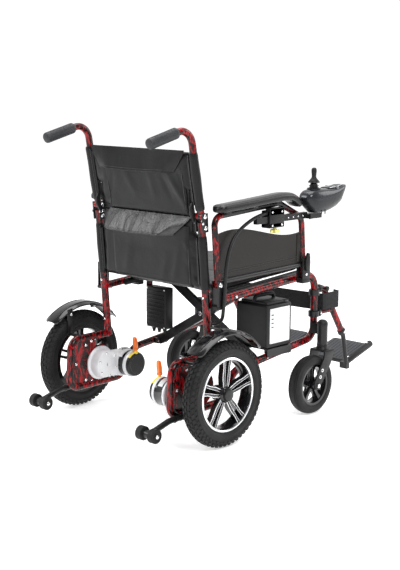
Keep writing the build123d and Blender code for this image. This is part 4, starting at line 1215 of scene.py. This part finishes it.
def bag_panel():
    """Flat bag on the rear of the upper cover, under the top flap."""
    grid = []
    for i in range(57):
        x = -186 + (152 + 186) * i / 56
        row = []
        for j in range(25):
            z = 820 - (820 - 674) * j / 24
            edge = min(x + 186, 152 - x, z - 674) / 9
            full = math.sqrt(max(0.0, 1 - max(0.0, 1 - edge) ** 2))
            bulge = 2.0 + 4.4 * full + 0.7 * ripple(x, z, 30, 7) * full
            row.append((x, back_y(z) + 8 + bulge + crease(x, z, UPPER_FOLDS) * 0.85 * full, z))
        grid.append(row)
    pile = Pile()
    pile.add(sheet_shape([[(x, y - 4, z) for x, y, z in row] for row in grid], 4))
    for x in (-181, 147):
        line = [(x, back_y(z) + 14.2, z) for z in range(678, 816, 6)]
        pile.add(pipe(line, 0.8, 8), 1)
    obj = pile.build("backrest_bag", ["leatherette", "thread"], "right_back", 60)
    fold_with(obj)


def pocket():
    """Full-width lower pocket, its mouth standing off under the flap."""
    grid = []
    for i in range(57):
        x = -184 + (154 + 184) * i / 56
        row = []
        for j in range(29):
            z = 642 - (642 - 458) * j / 28
            edge = min(x + 184, 154 - x, z - 458) / 12
            full = math.sqrt(max(0.0, 1 - max(0.0, 1 - edge) ** 2))
            mouth = max(0.0, (z - 560) / 82) ** 1.5 * 14 * math.sin(math.pi * (x + 184) / 338)
            bulge = 2 + 8 * full + 1.2 * ripple(x, z, 34, 9) * full + mouth
            row.append((x, post_y(z) + 7 + bulge + crease(x, z, LOWER_FOLDS) * 0.9 * full, z))
        grid.append(row)
    pile = Pile()
    pile.add(sheet_shape([[(x, y - 3, z) for x, y, z in row] for row in grid], 3))
    for x in (-178, 148):
        line = [(x, post_y(z) + 15.8, z) for z in range(462, 600, 6)]
        pile.add(pipe(line, 0.8, 8), 1)
    line = [(x, post_y(464) + 15.4, 464) for x in range(-176, 148, 9)]
    pile.add(pipe(line, 0.8, 8), 1)
    obj = pile.build("rear_pocket_cloth", ["leatherette", "thread"], "right_frame", 60)
    fold_with(obj)


def seat():
    """Cushion across the two seat tubes, turned down at its front."""
    loops = []
    for i in range(49):
        y = -492 + (492 - 98) * i / 48
        end = min(y + 492, -98 - y)
        ease = math.sqrt(max(0.03, 1 - max(0.0, 1 - end / 15) ** 2))
        over, under = [], []
        for j in range(49):
            u = -1 + 2 * j / 48
            x = 204 * u
            tuck = math.sqrt(max(0.0, 1 - abs(u) ** 12))
            crown = 24 + 4.5 * math.cos(u * math.pi / 2) + 1.0 * ripple(x, y, 46, 4)
            for row in (-120, -226, -330, -436):
                crown -= 2.6 * math.exp(-((y - row) / 5) ** 2) * min(1.0, (1 - abs(u)) * 9)
            base = rail_z(y) + 15.5
            mid = base + 12
            over.append((x, y, mid + (crown - 12) * ease * tuck))
            under.append((x, y, mid - 12 * ease * tuck))
        loops.append(over + under[::-1])
    pile = Pile()
    pile.add(rings(loops))
    obj = pile.build("seat_cushion_cover", "leatherette", None, 60)
    puff(obj, 0.006, 0.003, 3.0)
    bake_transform(obj)
    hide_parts("seat_cushion")


def calf_band():
    """Webbing behind the calves, wrapped round the hangers."""
    out, low, high = CALF_OUT, CALF_LOW, CALF_HIGH
    centre = [(-218, -657), (-out, -656), (-out, -640), (-out, -590), (-out + 2, CALF_Y - 2.5), (-out + 12, CALF_Y)]
    for k in range(1, 12):
        u = k / 12
        centre.append(((-out + 12) * (1 - 2 * u), CALF_Y + 9 * math.sin(math.pi * u)))
    centre += [(-x, y) for x, y in centre[:6]][::-1]
    section = [(-1.5, low), (1.5, low), (1.9, low + 4), (1.5, low + 8),
               (1.5, high - 8), (1.9, high - 4), (1.5, high), (-1.5, high)]
    loops = []
    for k, (x, y) in enumerate(centre):
        a, b = centre[max(0, k - 1)], centre[min(len(centre) - 1, k + 1)]
        size = math.hypot(b[0] - a[0], b[1] - a[1])
        nx, ny = (b[1] - a[1]) / size, -(b[0] - a[0]) / size
        drop = 4 * math.sin(math.pi * k / (len(centre) - 1))
        loop = []
        for w, z in section:
            loop.append((x + nx * w, y + ny * w, z - drop))
        loops.append(loop)
    pile = Pile()
    pile.add(rings(loops))
    obj = pile.build("calf_strap_webbing", "webbing", "right_legrest", 50)
    fold_with(obj)
    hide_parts("calf_strap")


# ---- joystick ----
STICK_X, STICK_Y, STICK_Z = -290.0, -447.0, 732.0
# Sections of the shell: Y, half width, and the Z of its top, its split line and its underside.
SHELL = [(-398, 11, 706, 703, 700), (-401, 20, 715, 702, 690), (-408, 26, 723, 700, 682),
         (-420, 31, 729, 697, 672), (-440, 33, 732, 694, 656), (-462, 33.5, 732, 694, 655),
         (-485, 33, 731, 697, 656), (-510, 32, 730, 702, 661), (-540, 29.5, 731.5, 710, 669),
         (-565, 26.5, 735, 720, 682), (-584, 22, 738, 729, 712), (-594, 14, 737, 734, 730)]


def joystick():
    top, under = [], []
    for y, w, z_top, z_split, z_low in SHELL:
        cap = []
        for k in range(33):
            a = math.pi * k / 32
            c, s = math.cos(a), math.sin(a)
            x = math.copysign(abs(c) ** 0.62, c) * w
            cap.append((STICK_X + x, y, z_split + (z_top - z_split) * abs(s) ** 0.62))
        top.append(cap + [(STICK_X - w + 3, y, z_split + 0.2), (STICK_X + w - 3, y, z_split + 0.2)])
        low = []
        for k in range(25):
            a = math.pi * k / 24
            c, s = math.cos(a), math.sin(a)
            x = math.copysign(abs(c) ** 0.4, c) * (w - 1.6) * (1 - 0.22 * abs(s))
            low.append((STICK_X + x, y, z_split + 0.8 - (z_split - z_low) * abs(s) ** 0.45))
        under.append(low)
    pile = Pile()
    pile.add(rings(top))
    pile.add(rings(under), 1)
    for x in (-18, 18):
        edge = ((-506, 732.4), (-540, 733.4), (-572, 737.6))
        rail = [(STICK_X + x * (1 - (-506 - y) / 400), y, z) for y, z in edge]
        pile.add(pipe(rail, 1.1, 10), 2)
    plate_side = [(-504, 729), (-504, 732.6), (-540, 733.6), (-573, 737.8), (-573, 733)]
    pile.add(plate(plate_side, "X", STICK_X - 17, STICK_X + 17, 0.8), 1)
    collar = [(-2, 21.5), (1.6, 21.5), (2.4, 20), (2.2, 17), (-2, 17)]
    pile.add(turned(collar, (STICK_X, STICK_Y, STICK_Z), "Z", 40), 1)
    for k in range(4):
        pile.add(dome((STICK_X - 21 + 14 * k, -524, 732.2), (0, 0, 1), 1.5), 3)
    for y in (-456, -474):
        pile.add(block(STICK_X - 27, STICK_X - 24, y - 1.5, y + 1.5, 652, 680, 1), 1)
    obj = pile.build("joystick_shell", ["shell_grey", "shell_dark", "face_silver", "led_green"], "joystick", 42)
    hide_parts("joystick_housing")
    pile = Pile()
    boot = [(0, 5), (0, 12), (0.8, 15.6), (3, 16.4), (4.4, 13.2), (6.4, 12.8), (8, 15.4), (9.6, 15.2),
            (10.8, 11.8), (12.6, 11.4), (14.4, 12), (16, 10.6), (17.4, 4.6)]
    pile.add(knob(boot, (STICK_X, STICK_Y, STICK_Z + 0.4), (0, 0, 1), 36))
    obj = pile.build("joystick_boot_rubber", "black_plastic", "joystick_stick", 40)
    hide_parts("joystick_boot")
    pile = Pile()
    stick = [(0, 4), (18.4, 4), (18.6, 16), (19.6, 19), (21.6, 18.4), (27, 14), (32, 9.5), (36, 7.4),
             (40, 7.0), (50, 8.0), (58, 8.6), (62, 7.8), (65, 5.4), (66, 2.2), (66.1, 0.3)]
    pile.add(knob(stick, (STICK_X, STICK_Y, STICK_Z), (0, 0, 1), 36))
    obj = pile.build("joystick_stick_knob", "black_plastic", "joystick_stick", 40)
    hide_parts("joystick_stick")
    paint("joystick_gimbal_ring", None, ["black_satin"])
    for k in range(4):
        paint(f"joystick_button_{k + 1}", None, ["button_grey"])
    pile = Pile()
    for k in range(5):
        y = -410 + 24 * k
        if y > -312:
            break
        pile.add(dome((-265.0, y, 649), (1, 0, 0), 3))
        pile.add(dome((-279.0, y, 649), (-1, 0, 0), 3))
    for y in (-434, -468):
        pile.add(hexhead((STICK_X, y, 639.2), (0, 0, -1), 4.5))
    pile.build("joystick_bar_screws", "chrome", "joystick", 40)
    clamp()


def clamp():
    pile = Pile()
    pile.add(block(-285, -266, -312, -243, 660.5, 684, 2.5))
    pile.add(block(-285, -250, -312, -243, 660.5, 676, 2.5))
    pile.add(block(-285, -279.5, -312, -243, 624, 684, 2.2))
    pile.add(block(-264.5, -250.5, -312, -243, 624, 676, 2.2))
    pile.add(block(-285, -250.5, -312, -243, 623, 638.5, 2.2))
    for y in (-300, -255):
        pile.add(dome((-285, y, 631), (-1, 0, 0), 4), 1)
        pile.add(dome((-285, y, 672), (-1, 0, 0), 4), 1)
    obj = pile.build("clamp_block_body", ["black_plastic", "chrome"], "right_armrest", 40)
    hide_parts("clamp_block")
    pile = Pile()
    pile.add(knob([(0, 5.8), (6.2, 5.8)], (-272, -281, 622.8), (0, 0, -1), 24))
    lobes = []
    for h, k in ((5.8, 0.86), (7.4, 1.0), (14.6, 1.0), (16.4, 0.9), (17, 0.6)):
        loop = []
        for j in range(60):
            a = 2 * math.pi * j / 60
            r = k * (13.2 + 2.6 * math.cos(5 * a))
            loop.append((-272 + r * math.cos(a), -281 + r * math.sin(a), 622.8 - h))
        lobes.append(loop)
    pile.add(rings(lobes))
    obj = pile.build("clamp_knob_lobes", "knob_yellow", "clamp_knob", 40)
    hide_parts("clamp_knob")


def cable():
    """Joystick cable on one smooth curve."""
    x = -ARM_X - 20
    route = [(x, -242, 669), (x, -180, 664), (x, -66, 598), (x, -52, 400), (x + 12, -56, 352), (x + 31, -31, 352)]
    line = bpy.data.curves.new("cable_line", "CURVE")
    line.dimensions = "3D"
    spline = line.splines.new("NURBS")
    spline.points.add(len(route) - 1)
    for point, p in zip(spline.points, route):
        point.co = (*pt(*p), 1)
    spline.order_u = 3
    spline.use_endpoint_u = True
    spline.resolution_u = 16
    carrier = bpy.data.objects.new("cable_line", line)
    bpy.context.scene.collection.objects.link(carrier)
    bpy.context.view_layer.update()
    shaped = carrier.evaluated_get(bpy.context.evaluated_depsgraph_get())
    path = [v.co.copy() for v in shaped.to_mesh().vertices]
    bpy.data.objects.remove(carrier)
    shown = [(p / MM) - Vector((0, AXLE_Y, 0)) for p in path]
    pile = Pile()
    pile.add(pipe(shown, 5.5, 18))
    obj = pile.build("joystick_cable_sheath", "black_plastic", None, 50)
    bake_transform(obj)
    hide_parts("joystick_cable")


# ---- power ----
def battery():
    pile = Pile()
    pile.add(block(-238, -108, -414, -291, 231.2, 370, 7, 4))
    pile.add(block(-236.6, -109.4, -412.6, -292.4, 322, 325, 1))
    pile.add(block(-230, -120, -402, -301, 368, 379, 4, 3))
    handle = [(-174, -398, 376), (-174, -398, 392), (-174, -305, 392), (-174, -305, 376)]
    pile.add(pipe(rounded(handle, [12, 12]), 6.2, 16))
    pile.add(block(-239.6, -236, -402, -306, 246, 358, 1.6, 3), 1)
    for k in range(4):
        pile.add(block(-240.2, -239, -322, -312, 336 - 13 * k, 340 - 13 * k, 0.5), 2)
    for y, z in ((-398, 250), (-398, 353), (-310, 250), (-310, 353)):
        pile.add(dome((-239.4, y, z), (-1, 0, 0), 2.6), 3)
    pile.add(block(-232, -214, -404, -386, 371, 376, 1.5), 2)
    for k in range(5):
        pile.add(block(-233, -213, -402.5 + 3.6 * k, -400.9 + 3.6 * k, 375, 377.6, 0.5), 2)
    pile.add(knob([(0, 6), (2, 6), (3, 5), (3.2, 1)], (-150, -414, 300), (0, -1, 0), 24), 1)
    obj = pile.build("battery_case", ["black_plastic", "label_white", "steel_grey", "chrome"], "battery", 40)
    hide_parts("battery")


def controller():
    pile = Pile()
    pile.add(block(124, 216.4, -242, -204, 251, 389, 5, 3))
    for k in range(9):
        z = 268 + 13 * k
        pile.add(block(130, 210, -204.4, -201.8, z, z + 5, 0.9))
    for x in (130, 210):
        for z in (257, 383):
            pile.add(dome((x, -204, z), (0, 1, 0), 3), 1)
    for k in range(3):
        x = 145 + 25 * k
        pile.add(knob([(0, 7), (8, 7), (9, 5.6), (16, 5)], (x, -222, 251), (0, 0, -1), 20), 0)
    obj = pile.build("controller_case", ["black_plastic", "chrome"], "left_frame", 40)
    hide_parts("controller_box")


# ---- legrests ----
def footplate(side, s):
    run = math.sqrt(1 + 0.3 ** 2)
    d = Vector((0, -1 / run, 0.3 / run))
    n = Vector((0, 0.3 / run, 1 / run))
    start = Vector((s * 210, -741, 110.3))
    centre = start + d * 75 - n * 4 + Vector((-s * 80, 0, 0))

    def at(x, along, up):
        return centre + Vector((x, 0, 0)) + d * along + n * up

    def pad(half_x, half_y, r, up0, up1, bevel):
        ring = []
        for cx, cy, a0 in ((half_x - r, half_y - r, 0), (r - half_x, half_y - r, 90), (r - half_x, r - half_y, 180),
                           (half_x - r, r - half_y, 270)):
            for k in range(7):
                a = math.radians(a0 + 15 * k)
                ring.append((cx, cy, math.cos(a), math.sin(a)))
        loops = []
        for up, inset in ((up0, bevel), (up0 + bevel, 0), (up1 - bevel, 0), (up1, bevel)):
            loops.append([at(cx + (r - inset) * c, cy + (r - inset) * q, up) for cx, cy, c, q in ring])
        return rings(loops)

    pile = Pile()
    pile.add(pad(74.5, 70.5, 14, -6, 4.5, 1.6), 1)
    pile.add(pad(69, 65, 11, 3.5, 6, 0.8), 0)
    for k in range(9):
        x = -56 + 14 * k
        pile.add(pipe([at(x, -56, 6), at(x, 56, 6)], 1.5, 8), 0)
    pile.add(pipe([start - d * 1, start + d * 3, start + d * 147, start + d * 151], [10.8, 12, 12, 10.8], 28), 1)
    for along in (18, 132):
        pile.add(dome(start + d * along + n * 11.6, n, 4.5), 2)
    obj = pile.build(f"{side}_footplate_tread", ["foot_grey", "black_plastic", "chrome"], f"{side}_footplate", 40)
    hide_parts(f"{side}_footplate")


def leg_clamps(side, s):
    pile = Pile()
    for y, z in ((-566, 391), (-566, 310)):
        pile.add(knob([(-6, 12.4), (-5, 13.6), (5, 13.6), (6, 12.4)], (s * FRAME_X, y, z), (0, -1, 0), 28))
    pile.add(knob([(-9, 12.6), (-7, 14), (7, 14), (9, 12.6)], (s * FRAME_X, -697, 227), (0, -0.53, -0.85), 28))
    pile.add(knob([(0, 8), (9, 8), (10.4, 6.5), (10.8, 2)], (s * (FRAME_X + 10), -592, 389), (s, 0, 0), 24))
    pile.add(dome((s * (FRAME_X + 12), -697, 227), (s, 0, 0), 5.5), 1)
    pile.add(dome((s * (FRAME_X + 11), -566, 310), (s, 0, 0), 5), 1)
    obj = pile.build(f"{side}_legrest_clamps", ["black_plastic", "chrome"], f"{side}_legrest", 40)


def brace_bolts():
    for name, body, s in (("a", "brace_a", -1), ("b", "brace_b", 1)):
        pile = Pile()
        for way in (1, -1):
            pile.add(hexhead((s * PIVOT_X, BRACE_Y + way * FACE_OUT, PIVOT_Z), (0, way, 0), 8))
        if s < 0:
            pile.add(hexhead((0, BRACE_Y + 22, CROSS_Z), (0, 1, 0), 9))
        pile.build(f"brace_{name}_bolts", "chrome", body, 40)


# ---- whole chair ----
cable()
paint_frames()
for side_name, side_sign in SIDES:
    for make in (tyre, rim, fender, motor, castor, anti_tipper, bolts, grip, arm_pad, skirt_trim, footplate,
                 leg_clamps):
        make(side_name, side_sign)
for make in (backrest, seat, calf_band, joystick, battery, controller, brace_bolts):
    make()
